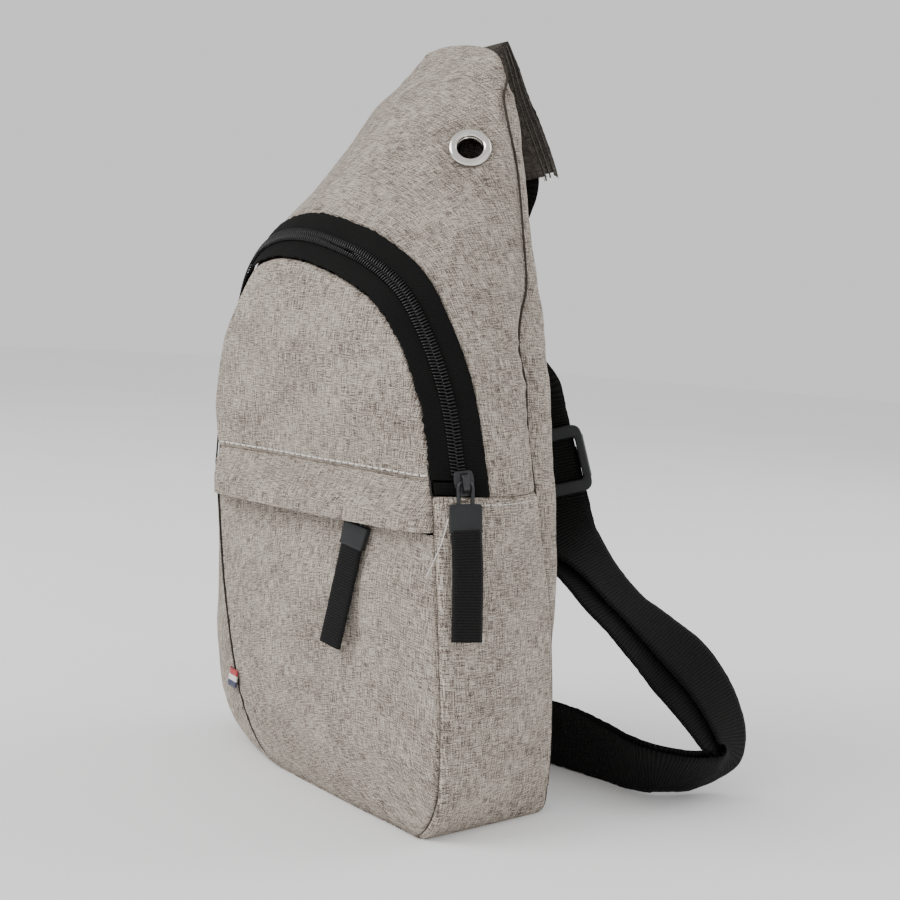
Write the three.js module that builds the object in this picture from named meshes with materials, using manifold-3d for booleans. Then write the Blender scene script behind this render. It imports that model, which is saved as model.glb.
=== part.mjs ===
// Sling bag: a one-shoulder chest bag of woven polyester, standing on its base.
// Millimetres. X to the bag's right as seen from the front, Y towards the padded back, Z up.
// The origin is on the resting surface, under the middle of the base.
import * as THREE from 'three';
import Module from 'manifold-3d';

const wasm = await Module();
wasm.setup();

// ---- driving dimensions -------------------------------------------------------------------
const HEIGHT = 338;          // resting surface to the top seam
const FABRIC = 1.4;          // outer fabric with its backing
const GAP = 0.35;            // clearance kept between neighbouring pieces
const SEAM_Y = 24;           // plane of the seam between the sides and the padded back
const PAD = 12;              // thickness of the padded back
const ZIP_END_Z = 141;       // level of both ends of the main zip
const HINGE_Z = 147;         // level of the fold that the front flap opens about
const HINGE_Y = -39.5;
const BAND = 24;             // visible width of the main zip, both tapes together
const COIL_WIDTH = 2.9;      // one half of a number 5 coil
const COIL_HEIGHT = 1.7;
const COIL_GAP = 1.3;        // room for the slider's divider
const POCKET_ZIP_Z = 129.5;   // centre line of the pocket zip
const WEBBING = 30;          // strap width
const WEBBING_THICK = 1.4;
const PULL_WIDTH = 12.5;     // webbing of both zip pulls
const PORT = { hole: 5.6, sleeve: 6.6, rim: 9.4 };   // radii of the cable port's eyelet

// ---- materials ----------------------------------------------------------------------------
const finish = (color, roughness, metalness = 0) =>
  new THREE.MeshStandardMaterial({ color, roughness, metalness });
const greyFabric = finish(0x9c948c, 0.85);
const darkFabric = finish(0x4a4846, 0.85);
const blackTape = finish(0x121212, 0.8);
const blackWebbing = finish(0x161617, 0.75);
const blackNylon = finish(0x17181a, 0.4);
const greyPlastic = finish(0x34373a, 0.45);
const darkMetal = finish(0x3c3d40, 0.35, 0.9);
const silver = finish(0xc9c7c3, 0.25, 1.0);
const foam = finish(0x3b3b3d, 0.95);
const lining = finish(0x1c1c1e, 0.8);
const ribbonWeave = finish(0x9a2f33, 0.7);

const bag = new THREE.Group();
bag.name = 'sling_bag';

function place(name, geometry, material) {
  const mesh = new THREE.Mesh(geometry, material);
  mesh.name = name;
  bag.add(mesh);
  return mesh;
}

const vec = (x, y, z) => new THREE.Vector3(x, y, z);
const curve = (...points) =>
  new THREE.CatmullRomCurve3(points.map(p => vec(...p)), false, 'centripetal');

// A curve sampled by its control points, so that two such curves keep step with each other.
function at(path, t) {
  const p = path.getPoint(THREE.MathUtils.clamp(t, 0, 1));
  p.z = Math.max(p.z, 0);
  return p;
}

function solidFrom(vertices, triangles) {
  const volume = triangles.reduce((sum, [a, b, c]) =>
    sum + vertices[a].dot(vertices[b].clone().cross(vertices[c])), 0);
  if (volume < 0) {
    triangles.forEach(face => face.reverse());
  }
  const geometry = new THREE.BufferGeometry();
  geometry.setAttribute('position', new THREE.Float32BufferAttribute(vertices.flatMap(p => p.toArray()), 3));
  geometry.setIndex(triangles.flat());
  geometry.computeVertexNormals();
  return geometry;
}

// ---- shape builders -----------------------------------------------------------------------
// A closed sheet over u, v in 0..1. surface() is its outer face, and du x dv points outwards.
// lift moves the whole sheet along its normal and thick is measured inwards from there.
function sheet(surface, across, along, thick, lift = 0) {
  const step = 1e-3;
  const outer = [];
  const inner = [];
  for (let j = 0; j <= along; j++) {
    for (let i = 0; i <= across; i++) {
      const u = i / across;
      const v = j / along;
      const du = surface(Math.min(u + step, 1), v).sub(surface(Math.max(u - step, 0), v));
      const dv = surface(u, Math.min(v + step, 1)).sub(surface(u, Math.max(v - step, 0)));
      const normal = du.cross(dv).normalize();
      outer.push(surface(u, v).addScaledVector(normal, lift));
      inner.push(surface(u, v).addScaledVector(normal, lift - thick));
    }
  }
  const count = outer.length;
  const id = (i, j) => j * (across + 1) + i;
  const triangles = [];
  const quad = (a, b, c, d) => triangles.push([a, b, c], [a, c, d]);
  for (let j = 0; j < along; j++) {
    for (let i = 0; i < across; i++) {
      const [a, b, c, d] = [id(i, j), id(i + 1, j), id(i + 1, j + 1), id(i, j + 1)];
      quad(a, b, c, d);
      quad(count + d, count + c, count + b, count + a);
    }
  }
  for (let i = 0; i < across; i++) {
    quad(id(i, 0), count + id(i, 0), count + id(i + 1, 0), id(i + 1, 0));
    quad(id(i + 1, along), count + id(i + 1, along), count + id(i, along), id(i, along));
  }
  for (let j = 0; j < along; j++) {
    quad(id(0, j + 1), count + id(0, j + 1), count + id(0, j), id(0, j));
    quad(id(across, j), count + id(across, j), count + id(across, j + 1), id(across, j + 1));
  }
  return solidFrom([...outer, ...inner], triangles);
}

// A closed dish inside an outline of points. faceA(r) and faceB(r) are the offsets of its two
// faces along Y from the outline's own plane, where r runs from 0 at the centre to 1 at the rim.
function dish(outline, centre, rings, faceA, faceB) {
  const outer = [];
  const inner = [];
  for (let k = rings; k >= 1; k--) {
    const r = Math.sqrt(k / rings);
    for (const edge of outline) {
      const p = centre.clone().lerp(edge, r);
      outer.push(p.clone().add(vec(0, faceA(r), 0)));
      inner.push(p.add(vec(0, faceB(r), 0)));
    }
  }
  outer.push(centre.clone().add(vec(0, faceA(0), 0)));
  inner.push(centre.clone().add(vec(0, faceB(0), 0)));
  const n = outline.length;
  const count = outer.length;
  const triangles = [];
  const add = (a, b, c) => triangles.push([a, b, c]);
  for (let i = 0; i < n; i++) {
    const j = (i + 1) % n;
    for (let k = 0; k < rings - 1; k++) {
      const [a, b, c, d] = [k * n + i, k * n + j, (k + 1) * n + j, (k + 1) * n + i];
      add(a, b, c);
      add(a, c, d);
      add(count + a, count + c, count + b);
      add(count + a, count + d, count + c);
    }
    add((rings - 1) * n + i, (rings - 1) * n + j, count - 1);
    add(count + (rings - 1) * n + i, 2 * count - 1, count + (rings - 1) * n + j);
    add(i, count + i, count + j);
    add(i, count + j, j);
  }
  return solidFrom([...outer, ...inner], triangles);
}

// Flat webbing along a list of [point, width direction] stations.
function webbing(stations, width, thick, steps) {
  const path = curve(...stations.map(s => s[0]));
  const lean = curve(...stations.map(s => s[1]));
  const vertices = [];
  for (let i = 0; i <= steps; i++) {
    const p = path.getPoint(i / steps);
    const along = path.getTangent(i / steps);
    const across = lean.getPoint(i / steps);
    across.addScaledVector(along, -across.dot(along)).normalize();
    const normal = along.clone().cross(across);
    for (const [a, b] of [[-1, -1], [1, -1], [1, 1], [-1, 1]]) {
      vertices.push(p.clone().addScaledVector(across, a * width / 2).addScaledVector(normal, b * thick / 2));
    }
  }
  const triangles = [[0, 2, 1], [0, 3, 2]];
  for (let i = 0; i < steps; i++) {
    for (let k = 0; k < 4; k++) {
      const [a, b] = [4 * i + k, 4 * i + (k + 1) % 4];
      triangles.push([a, b, b + 4], [a, b + 4, a + 4]);
    }
  }
  const e = 4 * steps;
  triangles.push([e, e + 1, e + 2], [e, e + 2, e + 3]);
  return solidFrom(vertices, triangles);
}

function roundedRect(width, height, radius, x = 0, y = 0) {
  const shape = new THREE.Shape();
  const [w, h] = [width / 2 - radius, height / 2 - radius];
  shape.absarc(x + w, y + h, radius, 0, Math.PI / 2);
  shape.absarc(x - w, y + h, radius, Math.PI / 2, Math.PI);
  shape.absarc(x - w, y - h, radius, Math.PI, 1.5 * Math.PI);
  shape.absarc(x + w, y - h, radius, 1.5 * Math.PI, 2 * Math.PI);
  return shape;
}

function plate(shape, thick, z = 0) {
  const geometry = new THREE.ExtrudeGeometry(shape, { depth: thick, bevelEnabled: false, curveSegments: 6 });
  return geometry.translate(0, 0, z);
}

function toManifold(geometry) {
  const source = geometry.index ? geometry.toNonIndexed() : geometry;
  const positions = source.getAttribute('position');
  const vertices = [];
  const triangles = [];
  const known = new Map();
  for (let i = 0; i < positions.count; i++) {
    const p = [positions.getX(i), positions.getY(i), positions.getZ(i)];
    const key = p.map(c => Math.round(c * 1e4)).join();
    if (!known.has(key)) {
      known.set(key, vertices.length / 3);
      vertices.push(...p);
    }
    triangles.push(known.get(key));
  }
  return new wasm.Manifold(new wasm.Mesh({
    numProp: 3, vertProperties: new Float32Array(vertices), triVerts: new Uint32Array(triangles),
  }));
}

function fromManifold(solid) {
  const mesh = solid.getMesh();
  const geometry = new THREE.BufferGeometry();
  geometry.setAttribute('position', new THREE.BufferAttribute(mesh.vertProperties, 3));
  geometry.setIndex(new THREE.BufferAttribute(mesh.triVerts, 1));
  geometry.computeVertexNormals();
  return geometry;
}

const join = (...parts) => fromManifold(parts.map(toManifold).reduce((a, b) => a.add(b)));
const cut = (body, tool) => fromManifold(toManifold(body).subtract(toManifold(tool)));

// A frame at a point: x across, y along, z outwards.
function frameAt(origin, along, outward) {
  const y = along.clone().normalize();
  const z = outward.clone().addScaledVector(y, -outward.dot(y)).normalize();
  const x = y.clone().cross(z);
  return new THREE.Matrix4().makeBasis(x, y, z).setPosition(origin);
}

// ---- the bag's guiding curves --------------------------------------------------------------
// Front edge and back seam of the sides and bottom, from the right zip end under to the left.
const sideFront = curve([77, -39.5, 140.6], [83.5, -39, 96], [88.5, -38.5, 48], [87.5, -37.5, 16],
  [76, -36, 0], [30, -33, 0], [-18, -29, 0], [-42, -26, 5], [-64, -23, 24], [-75, -27, 70], [-76, -36, 140.6]);
const sideBack = curve([81, SEAM_Y, 140.6], [85, SEAM_Y, 96], [87, SEAM_Y, 48], [87, SEAM_Y, 14],
  [83, SEAM_Y, 0], [30, SEAM_Y, 0], [-30, SEAM_Y, 0], [-72, SEAM_Y, 0], [-86, SEAM_Y, 18],
  [-88, SEAM_Y, 70], [-81, SEAM_Y, 140.6]);

// Inner and outer edge of the main zip, from its right end over the top to its left end.
const zipInner = curve([74.5, -38, 141.4], [70, -38, 156.5], [65.5, -38, 172], [59, -38.5, 186],
  [50, -39, 201], [37, -39.5, 214.5], [19, -39, 224], [0, -38, 230], [-20, -37.5, 234.5], [-40, -37, 235.5],
  [-55, -36.5, 231], [-63, -36, 222], [-68, -36, 205], [-73, -36, 180], [-75.5, -36, 141.4]);
const zipOuter = curve([88.5, -19, 141.4], [84, -19, 158], [79.5, -19.5, 175], [74, -20.5, 191],
  [64, -22, 209], [49, -24, 230], [26, -26, 244.5], [2, -27, 252.5], [-20, -27, 256.5], [-42, -25, 255],
  [-61, -22, 248], [-75, -20, 235], [-83, -19, 212], [-87, -19, 182], [-88.5, -19, 141.4]);
const upperSeam = curve([81, SEAM_Y, 141.4], [77.5, SEAM_Y, 162], [73, SEAM_Y, 186], [67, SEAM_Y, 214],
  [59, 24.5, 246], [48, 27, 283], [36, 30, 318], [23, 33, 335.5], [-20, 34, 339], [-27, 32, 328],
  [-40, 28, 296], [-54, 25.5, 258], [-66, SEAM_Y, 222], [-75, SEAM_Y, 182], [-81, SEAM_Y, 141.4]);

// How far each side wall stands out between its front edge and its back seam.
const hump = v => Math.sin(Math.PI * Math.pow(v, 0.75));

function sideWall(t, v) {
  const p = at(sideFront, t).lerp(at(sideBack, t), v);
  const right = THREE.MathUtils.smoothstep(0.36 - t, 0, 0.36);
  const left = THREE.MathUtils.smoothstep(t - 0.66, 0, 0.1);
  const low = THREE.MathUtils.smoothstep(110 - p.z, 0, 70);
  p.x += hump(v) * (9.5 * right - (8 + 7 * low) * left);
  return p;
}

function upperWall(t, v) {
  const p = at(zipOuter, t).lerp(at(upperSeam, t), v);
  const lift = (t < 0.5 ? 4.5 : 4.5 - 7 * Math.exp(-Math.pow((t - 0.66) / 0.09, 2))) * Math.sin(Math.PI * v);
  const top = Math.exp(-Math.pow((t - 0.5) / 0.2, 2));
  p.x += lift * (t < 0.5 ? 1 - top : top - 1);
  p.y -= 0.6 * lift * top;
  p.z += 0.3 * lift * top;
  return p;
}

const zipBand = (t, w) => at(zipInner, t).lerp(at(zipOuter, t), w);
const bandShare = mm => mm / BAND;

// ---- padded back ---------------------------------------------------------------------------
const BACK_STEPS = 20;
const backOutline = [];
for (let i = 0; i < BACK_STEPS; i++) {
  backOutline.push(at(upperSeam, i / BACK_STEPS));
}
for (let i = 0; i < BACK_STEPS; i++) {
  backOutline.push(at(sideBack, 1 - i / BACK_STEPS));
}
const backCentre = vec(2, SEAM_Y + 1, 150);
const LINING = 0.9;
const foamSeat = GAP + LINING + GAP;
const padRise = r => (PAD - FABRIC) * Math.pow(Math.max(1 - Math.pow(r, 7), 0), 0.45);
const shrunk = (outline, centre, share) => outline.map(p => centre.clone().lerp(p, share));
place('back_lining', dish(backOutline, backCentre, 2, () => GAP + LINING, () => GAP), lining);
place('back_foam', dish(shrunk(backOutline, backCentre, 0.95), backCentre, 4,
  r => foamSeat + 0.9 * padRise(0.95 * r + 0.04) - GAP, () => foamSeat), foam);
place('back_cover', dish(backOutline, backCentre, 7,
  r => foamSeat + padRise(r) + FABRIC, r => foamSeat + padRise(r)), greyFabric);

// ---- sides, bottom and upper body ------------------------------------------------------------
const within = (share, margin) => THREE.MathUtils.lerp(margin, 1 - margin, share);
place('side_and_bottom_gusset', sheet((u, v) => sideWall(u, within(v, 0.012)), 36, 5, FABRIC), greyFabric);
const portAt = { t: 0.41, v: 0.65 };        // where the cable port sits in the upper panel
const portCentre = upperWall(portAt.t, portAt.v);
const portNormal = upperWall(portAt.t, portAt.v + 0.1).sub(upperWall(portAt.t, portAt.v - 0.1))
  .cross(upperWall(portAt.t + 0.04, portAt.v).sub(upperWall(portAt.t - 0.04, portAt.v))).normalize();
const portFrame = frameAt(portCentre, vec(0, 0, 1).addScaledVector(portNormal, -portNormal.z), portNormal);

// The eyelet presses the fabric around it flat.
function pressedWall(t, v) {
  const p = upperWall(t, v);
  const offset = p.clone().sub(portCentre);
  const height = offset.dot(portNormal);
  const away = Math.sqrt(Math.max(offset.lengthSq() - height * height, 0));
  const flat = 1 - THREE.MathUtils.smoothstep(away, PORT.rim + 9, PORT.rim + 24);
  return p.addScaledVector(portNormal, -height * flat);
}
const upperBody = sheet((u, v) => pressedWall(v, within(u, 0.02)), 9, 40, FABRIC);
const portCutter = new THREE.CylinderGeometry(PORT.sleeve, PORT.sleeve, 30, 20).rotateX(Math.PI / 2)
  .applyMatrix4(portFrame);
place('upper_body', cut(upperBody, portCutter), greyFabric);

// ---- cable port: a two-part rolled eyelet in the upper body -----------------------------------
// Each half is a ring turned from a closed profile of [radius, height] points.
function turned(profile, segments = 20) {
  const points = profile.map(([r, h]) => new THREE.Vector2(r, h));
  return new THREE.LatheGeometry([...points, points[0].clone()], segments).rotateX(Math.PI / 2);
}
const eyelet = turned([[PORT.hole, -3.4], [PORT.sleeve - 0.3, -3.4], [PORT.sleeve - 0.3, 0.75],
  [PORT.rim, 0.75], [PORT.rim, 1.2], [PORT.rim - 1.6, 2.1], [PORT.hole + 0.9, 2.1], [PORT.hole, 1.2]]);
place('port_eyelet', eyelet.applyMatrix4(portFrame), silver);
const washer = turned([[PORT.sleeve + 0.05, -2.9], [PORT.rim - 0.6, -2.9], [PORT.rim - 0.6, -2.4],
  [PORT.sleeve + 0.05, -2.1]]);
place('port_washer', washer.applyMatrix4(portFrame), silver);

// ---- front: pocket wall, pocket panel and zip cover --------------------------------------------
// The point of a guiding curve at a level, between the parameters of a lower and a higher point.
function levelOn(path, z, tLow, tHigh) {
  let [low, high] = [tLow, tHigh];
  for (let i = 0; i < 24; i++) {
    const middle = (low + high) / 2;
    [low, high] = at(path, middle).z < z ? [middle, high] : [low, middle];
  }
  return at(path, (low + high) / 2);
}
const frontRight = z => z < ZIP_END_Z ? levelOn(sideFront, z, 0.4, 0) : levelOn(zipInner, z, 0, 0.2);
const frontLeft = z => z < ZIP_END_Z ? levelOn(sideFront, z, 0.6, 1) : levelOn(zipInner, z, 1, 0.8);

// The front of the lower bag between its two corner seams, shrunk by inset at both sides. It is
// straight across where the pocket zip runs.
function frontFace(u, z, inset = 0) {
  const left = frontLeft(z).add(vec(inset, 0, 0));
  const p = left.lerp(frontRight(z).sub(vec(inset, 0, 0)), u);
  const crown = 4 * Math.min(1, z / 30) * (1 - Math.pow(2 * u - 1, 2));
  p.y -= crown * (1 - THREE.MathUtils.smoothstep(z, 96, 124));
  return p;
}
const band = (low, high, inset = 0) => (u, v) => frontFace(u, THREE.MathUtils.lerp(low, high, v), inset);
const POCKET_DEPTH = 9;                    // room between the pocket panel and the wall behind it
const FACE = GAP + FABRIC;                 // outer face of the pocket panel over the gusset's edge
place('pocket_inner_wall', sheet(band(6, 140, 4), 8, 6, FABRIC, -POCKET_DEPTH), lining);
place('pocket_panel', sheet(band(0.6, POCKET_ZIP_Z - 3.6), 8, 9, FABRIC, FACE), greyFabric);
place('pocket_zip_tape_lower', sheet(band(POCKET_ZIP_Z - 9, POCKET_ZIP_Z - 0.7, 4), 8, 1, 0.6, -0.3), blackTape);
place('pocket_zip_tape_upper', sheet(band(POCKET_ZIP_Z + 0.7, POCKET_ZIP_Z + 13, 4), 8, 1, 0.6, -0.3), blackTape);
place('pocket_coil_lower', sheet(band(POCKET_ZIP_Z - 3.2, POCKET_ZIP_Z - 0.7, 6), 8, 1, 1.5, 1.5), blackNylon);
place('pocket_coil_upper', sheet(band(POCKET_ZIP_Z + 0.7, POCKET_ZIP_Z + 3.2, 6), 8, 1, 1.5, 1.5), blackNylon);

const FOLD_LOW = 124.5;
const foldFace = (u, v) => {
  const p = frontFace(u, THREE.MathUtils.lerp(FOLD_LOW + 2.5 * u * u, HINGE_Z - 0.4, v));
  const ease = 1 - v;
  const ends = Math.min(1, 12 * Math.min(u, 1 - u));
  return p.add(vec(0, -FACE - FABRIC - GAP - (4.6 * ease + 1.6) * ends, 0));
};
place('pocket_zip_cover', sheet(foldFace, 16, 3, FABRIC), greyFabric);

// ---- front flap and main zip --------------------------------------------------------------------
const FLAP_FROM = 0.024;                   // share of the zip curve that lies below the hinge fold
const flapEdge = [];
const ARCH_STEPS = 32;
for (let i = 0; i <= ARCH_STEPS; i++) {
  flapEdge.push(at(zipInner, THREE.MathUtils.lerp(FLAP_FROM, 1 - FLAP_FROM * 0.7, i / ARCH_STEPS)));
}
const [flapRight, flapLeft] = [flapEdge[0], flapEdge[ARCH_STEPS]];
flapRight.z = HINGE_Z + 0.4;
flapLeft.z = HINGE_Z + 0.4;
for (let i = 1; i < 8; i++) {
  flapEdge.push(flapLeft.clone().lerp(flapRight, i / 8));
}
const flapCentre = vec(0, -38.5, 190);
place('front_flap', dish(flapEdge, flapCentre, 4,
  r => -5.5 * (1 - r * r) - FABRIC, r => -5.5 * (1 - r * r)), greyFabric);

const tape = (wFrom, wTo, tFrom, tTo) => (u, v) =>
  zipBand(THREE.MathUtils.lerp(tFrom, tTo, v), THREE.MathUtils.lerp(bandShare(wFrom), bandShare(wTo), u));
const coilEdge = COIL_GAP / 2;
const HALF = BAND / 2;
const [T0, T1] = [FLAP_FROM + 0.006, 1 - FLAP_FROM];   // span of the flap's share of the zip
place('zip_tape_inner', sheet(tape(1.8, HALF - 2.6, T0, T1), 1, 40, 0.7), blackTape);
place('zip_tape_outer', sheet(tape(HALF + coilEdge, BAND - 0.6, 0.002, 0.998), 1, 44, 0.7), blackTape);
place('zip_coil_inner', sheet(tape(HALF - coilEdge - COIL_WIDTH, HALF - coilEdge, 0.16, T1), 1, 36,
  COIL_HEIGHT, 0.3 + COIL_HEIGHT), blackNylon);
place('zip_coil_outer', sheet(tape(HALF + coilEdge, HALF + coilEdge + COIL_WIDTH, 0.01, 0.985), 1, 42,
  COIL_HEIGHT, 0.3 + COIL_HEIGHT), blackNylon);

// Short ends of the inner tape under the flap's fold, sewn down to the bag.
place('zip_tape_end_right', sheet(tape(1.8, HALF - 2.6, 0.002, FLAP_FROM - 0.002), 2, 2, 0.7), blackTape);
place('zip_tape_end_left', sheet(tape(1.8, HALF - 2.6, 1 - FLAP_FROM + 0.008, 0.998), 2, 2, 0.7), blackTape);

// ---- zip sliders and pulls ----------------------------------------------------------------------
// A slider's top plate with its bridge; x is across the zip, y along it, z outwards from the tape.
const SLIDER = { width: 8.6, length: 10.5, under: 2.4, plate: 1.2, bridge: 5.2, eye: 2.4 };
function sliderBody(dividerX, bridgeTurn) {
  const { width, length, under, plate: thick, bridge } = SLIDER;
  const outline = new THREE.Shape();
  outline.moveTo(-width * 0.34, -length / 2);
  outline.lineTo(width * 0.34, -length / 2);
  outline.lineTo(width / 2, length * 0.1);
  outline.quadraticCurveTo(width / 2, length / 2, width * 0.25, length / 2);
  outline.lineTo(-width * 0.25, length / 2);
  outline.quadraticCurveTo(-width / 2, length / 2, -width / 2, length * 0.1);
  const top = plate(outline, thick, under);
  const arch = new THREE.Shape();
  arch.moveTo(-length * 0.36, 0);
  arch.lineTo(length * 0.36, 0);
  arch.lineTo(length * 0.3, bridge - 1.2);
  arch.quadraticCurveTo(length * 0.26, bridge, 0, bridge);
  arch.quadraticCurveTo(-length * 0.26, bridge, -length * 0.3, bridge - 1.2);
  const eye = new THREE.Path();
  eye.moveTo(-length * 0.2, 1.3);
  eye.lineTo(-length * 0.17, bridge - 1.3);
  eye.lineTo(length * 0.17, bridge - 1.3);
  eye.lineTo(length * 0.2, 1.3);
  arch.holes.push(eye);
  const loop = plate(arch, 2.4, -1.2).rotateX(Math.PI / 2).rotateZ(Math.PI / 2 + bridgeTurn)
    .translate(0, 0, under + thick - 0.2);
  const divider = new THREE.BoxGeometry(0.6, 2.4, under + 1.4)
    .translate(dividerX, -length / 2 + 1.4, under / 2 - 0.5);
  return join(top, loop, divider);
}

// A bent wire staple: over the bridge, with both legs down into the pull's holder.
function linkBody(drop) {
  const legs = [vec(-2.7, -drop, 0), vec(-2.7, -drop * 0.5, 0), vec(-2.3, -1.4, 0), vec(-1.2, 0, 0),
    vec(1.2, 0, 0), vec(2.3, -1.4, 0), vec(2.7, -drop * 0.5, 0), vec(2.7, -drop, 0)];
  const wire = new THREE.CatmullRomCurve3(legs, false, 'centripetal');
  return new THREE.ExtrudeGeometry(new THREE.Shape().absarc(0, 0, 0.62, 0, 2 * Math.PI),
    { extrudePath: wire, steps: 20, curveSegments: 3 });
}

// The pull's moulded holder: a flat block with two sockets for the staple's legs.
function holderBody(width, height, thick) {
  const block = plate(roundedRect(width, height, 1.2, 0, -height / 2), thick, -thick / 2);
  const socket = side => new THREE.BoxGeometry(1.9, 7, 1.9).translate(side * 2.7, 0, 0);
  return cut(cut(block, socket(-1)), socket(1));
}

// A pull hangs from its pivot: link, holder, then the webbing, lying along the down direction.
function addPull(prefix, frame, drop, holder, tail) {
  place(`${prefix}_link`, linkBody(drop).applyMatrix4(frame), darkMetal);
  const top = 3 - drop;                     // the legs stand 3 mm deep in the holder
  const block = holderBody(holder.width, holder.height, holder.thick).translate(0, top, 0);
  place(`${prefix}_holder`, block.applyMatrix4(frame), greyPlastic);
  const strip = roundedRect(PULL_WIDTH, tail.length, 0.6, 0, -tail.length / 2);
  const tab = plate(strip, tail.thick, -tail.thick / 2).translate(0, top - holder.height - GAP, 0);
  place(`${prefix}_webbing`, tab.applyMatrix4(frame), blackWebbing);
}

const legUp = at(zipInner, 0.13).sub(at(zipInner, 0.01)).normalize();
const legOut = at(zipOuter, 0.05).sub(at(zipInner, 0.05)).cross(legUp).normalize();
const mainSeat = zipBand(0.022, 0.56);
place('main_slider', sliderBody(-0.06 * BAND, 0).applyMatrix4(frameAt(mainSeat, legUp, legOut)), darkMetal);
const mainPivot = mainSeat.clone().addScaledVector(legOut, SLIDER.under + SLIDER.plate + SLIDER.eye);
const mainOut = vec(legOut.x, legOut.y, 0).normalize();
const mainUp = vec(-0.156, 0.052, 1).normalize();
addPull('main_pull', frameAt(mainPivot, mainUp, mainOut), 11.5,
  { width: 13, height: 11.5, thick: 3.2 }, { length: 43, thick: 2.2 });

const POCKET_SCALE = 0.66;
const pocketSeat = frontFace(0.722, POCKET_ZIP_Z).add(vec(0, -0.35, 0));
const pocketAlong = frontFace(0.75, POCKET_ZIP_Z).sub(frontFace(0.66, POCKET_ZIP_Z)).normalize();
const pocketOut = vec(0, 0, 1).cross(pocketAlong).negate().normalize();
place('pocket_slider', sliderBody(0, Math.PI / 2).scale(POCKET_SCALE, POCKET_SCALE, POCKET_SCALE)
  .applyMatrix4(frameAt(pocketSeat, pocketAlong.clone().negate(), pocketOut)), darkMetal);

// The pocket's pull hangs at a slant from below the zip cover.
const pocketPivot = pocketSeat.clone()
  .addScaledVector(pocketOut, (SLIDER.under + SLIDER.plate + SLIDER.eye) * POCKET_SCALE);
const pocketUp = vec(0.16, 0.06, 0.986).normalize();
addPull('pocket_pull', frameAt(pocketPivot, pocketUp, pocketOut.clone().add(vec(0.14, 0, 0))), 8,
  { width: 12.5, height: 10, thick: 2.8 }, { length: 44, thick: 2 });

// ---- shoulder strap -------------------------------------------------------------------------------
// Straight run that the adjuster slides on, and the adjuster's own frame (x across, y up, z outwards).
const adjusterAt = vec(26.8, 85.6, 146);
const runUp = vec(-0.21, -0.2, 0.955).normalize();
const runAcross = vec(0.8, 0.6, 0).addScaledVector(runUp, 0.288).normalize();
const adjusterFrame = frameAt(adjusterAt, runUp, runAcross.clone().cross(runUp));
const onRun = (x, y, z = 0) => vec(x, y, z).applyMatrix4(adjusterFrame);
const RING_Z = 20.5;                        // middle of the webbing where it passes the ring
const facing = runAcross.clone().negate();
const flat = vec(-1, 0, 0);
const upright = vec(0, 0, 1);

// Stations are [point, width direction]. First from the top tab down to the adjuster.
const upperRun = [
  [vec(5.8, 46, 330.5), flat], [vec(7, 51, 318.8), flat], [vec(10.5, 58.8, 302), flat],
  [vec(13.6, 65.8, 287), flat], [vec(14.4, 68, 279), flat], [vec(6.5, 68, 262), vec(-1, -0.1, 0)],
  [vec(-3, 65, 240), vec(-0.95, -0.25, 0)], [vec(-0.5, 65, 214), vec(-0.92, -0.4, 0)],
  [vec(9, 70.5, 195), facing], ...[36, 28, 20, 12, 4, -4, -12, -18, -23].map(y => [onRun(0, y), facing]),
];
// Then down to the floor, round the loop and along behind the bag. The two last numbers place the
// returning layer: its distance inside the loop and its shift along the width direction.
const loopRun = [
  [vec(38.5, 91, 113), vec(-0.35, -0.8, -0.4), 6, 2], [vec(47, 93, 106), vec(0.1, -0.93, -0.35), 4.6, 6],
  [vec(55, 95.5, 98.5), vec(0.3, -0.9, -0.3), 3.8, 10], [vec(63.5, 98.6, 90), vec(0.36, -0.9, -0.28), 3.4, 13],
  [vec(72, 102.6, 82), vec(0.37, -0.9, -0.25), 3.4, 14], [vec(80.5, 106.4, 75.4), vec(0.36, -0.86, -0.35), 3.4, 14],
  [vec(89, 110.1, 68.5), vec(0.28, -0.87, -0.42), 3.4, 13], [vec(97.5, 113.8, 61.4), vec(0.18, -0.88, -0.45), 3.4, 13],
  [vec(105.8, 117, 52.7), vec(0.14, -0.92, -0.38), 3.4, 13], [vec(114, 119.6, 41.4), vec(0.14, -0.95, -0.28), 3.4, 12],
  [vec(120.4, 120.6, 29), vec(0.16, -0.97, -0.1), 3.4, 10], [vec(122.6, 118.6, 20.5), vec(0.2, -0.95, 0.2), 3.4, 7],
  [vec(121.2, 112, 14.6), vec(0.4, -0.75, 0.5), 3.4, 3], [vec(117.6, 102.4, 12.4), vec(0.45, -0.55, 0.7), 3.4, 1],
  [vec(112.5, 92.5, 12.6), vec(0.45, -0.45, 0.75), 3.4, 0.4], [vec(104.5, 84, 13.4), vec(0.4, -0.4, 0.8), 3.4, 0.4],
  [vec(92.5, 81.2, 13.9), vec(0.35, -0.38, 0.83), 3.4, 0.4], [vec(76.3, 82, 14.9), vec(0.2, -0.28, 0.92), 3.4, 0.3],
  [vec(57, 83.5, 15.5), vec(0.05, -0.09, 0.99), 3.4, 0.2], [vec(38, 83, 15.8), upright, 3.4, 0],
  [vec(14, 78.5, 16.2), upright, 3.6, 0], [vec(-10, 72, 17.2), upright, 4.2, 0],
  [vec(-32, 64, 19), upright, 5.4, 0], [vec(-47, 58.4, RING_Z), upright, 6.2, 0],
];
const ringTurn = [[-53, 57.2], [-56.6, 58.2], [-57.9, 60.4], [-56.6, 62.6], [-53, 63.6]]
  .map(([x, y]) => [vec(x, y, RING_Z), upright]);
const loopPath = curve(...[upperRun.at(-1), ...loopRun, ringTurn[0]].map(([p]) => p.toArray()));
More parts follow.
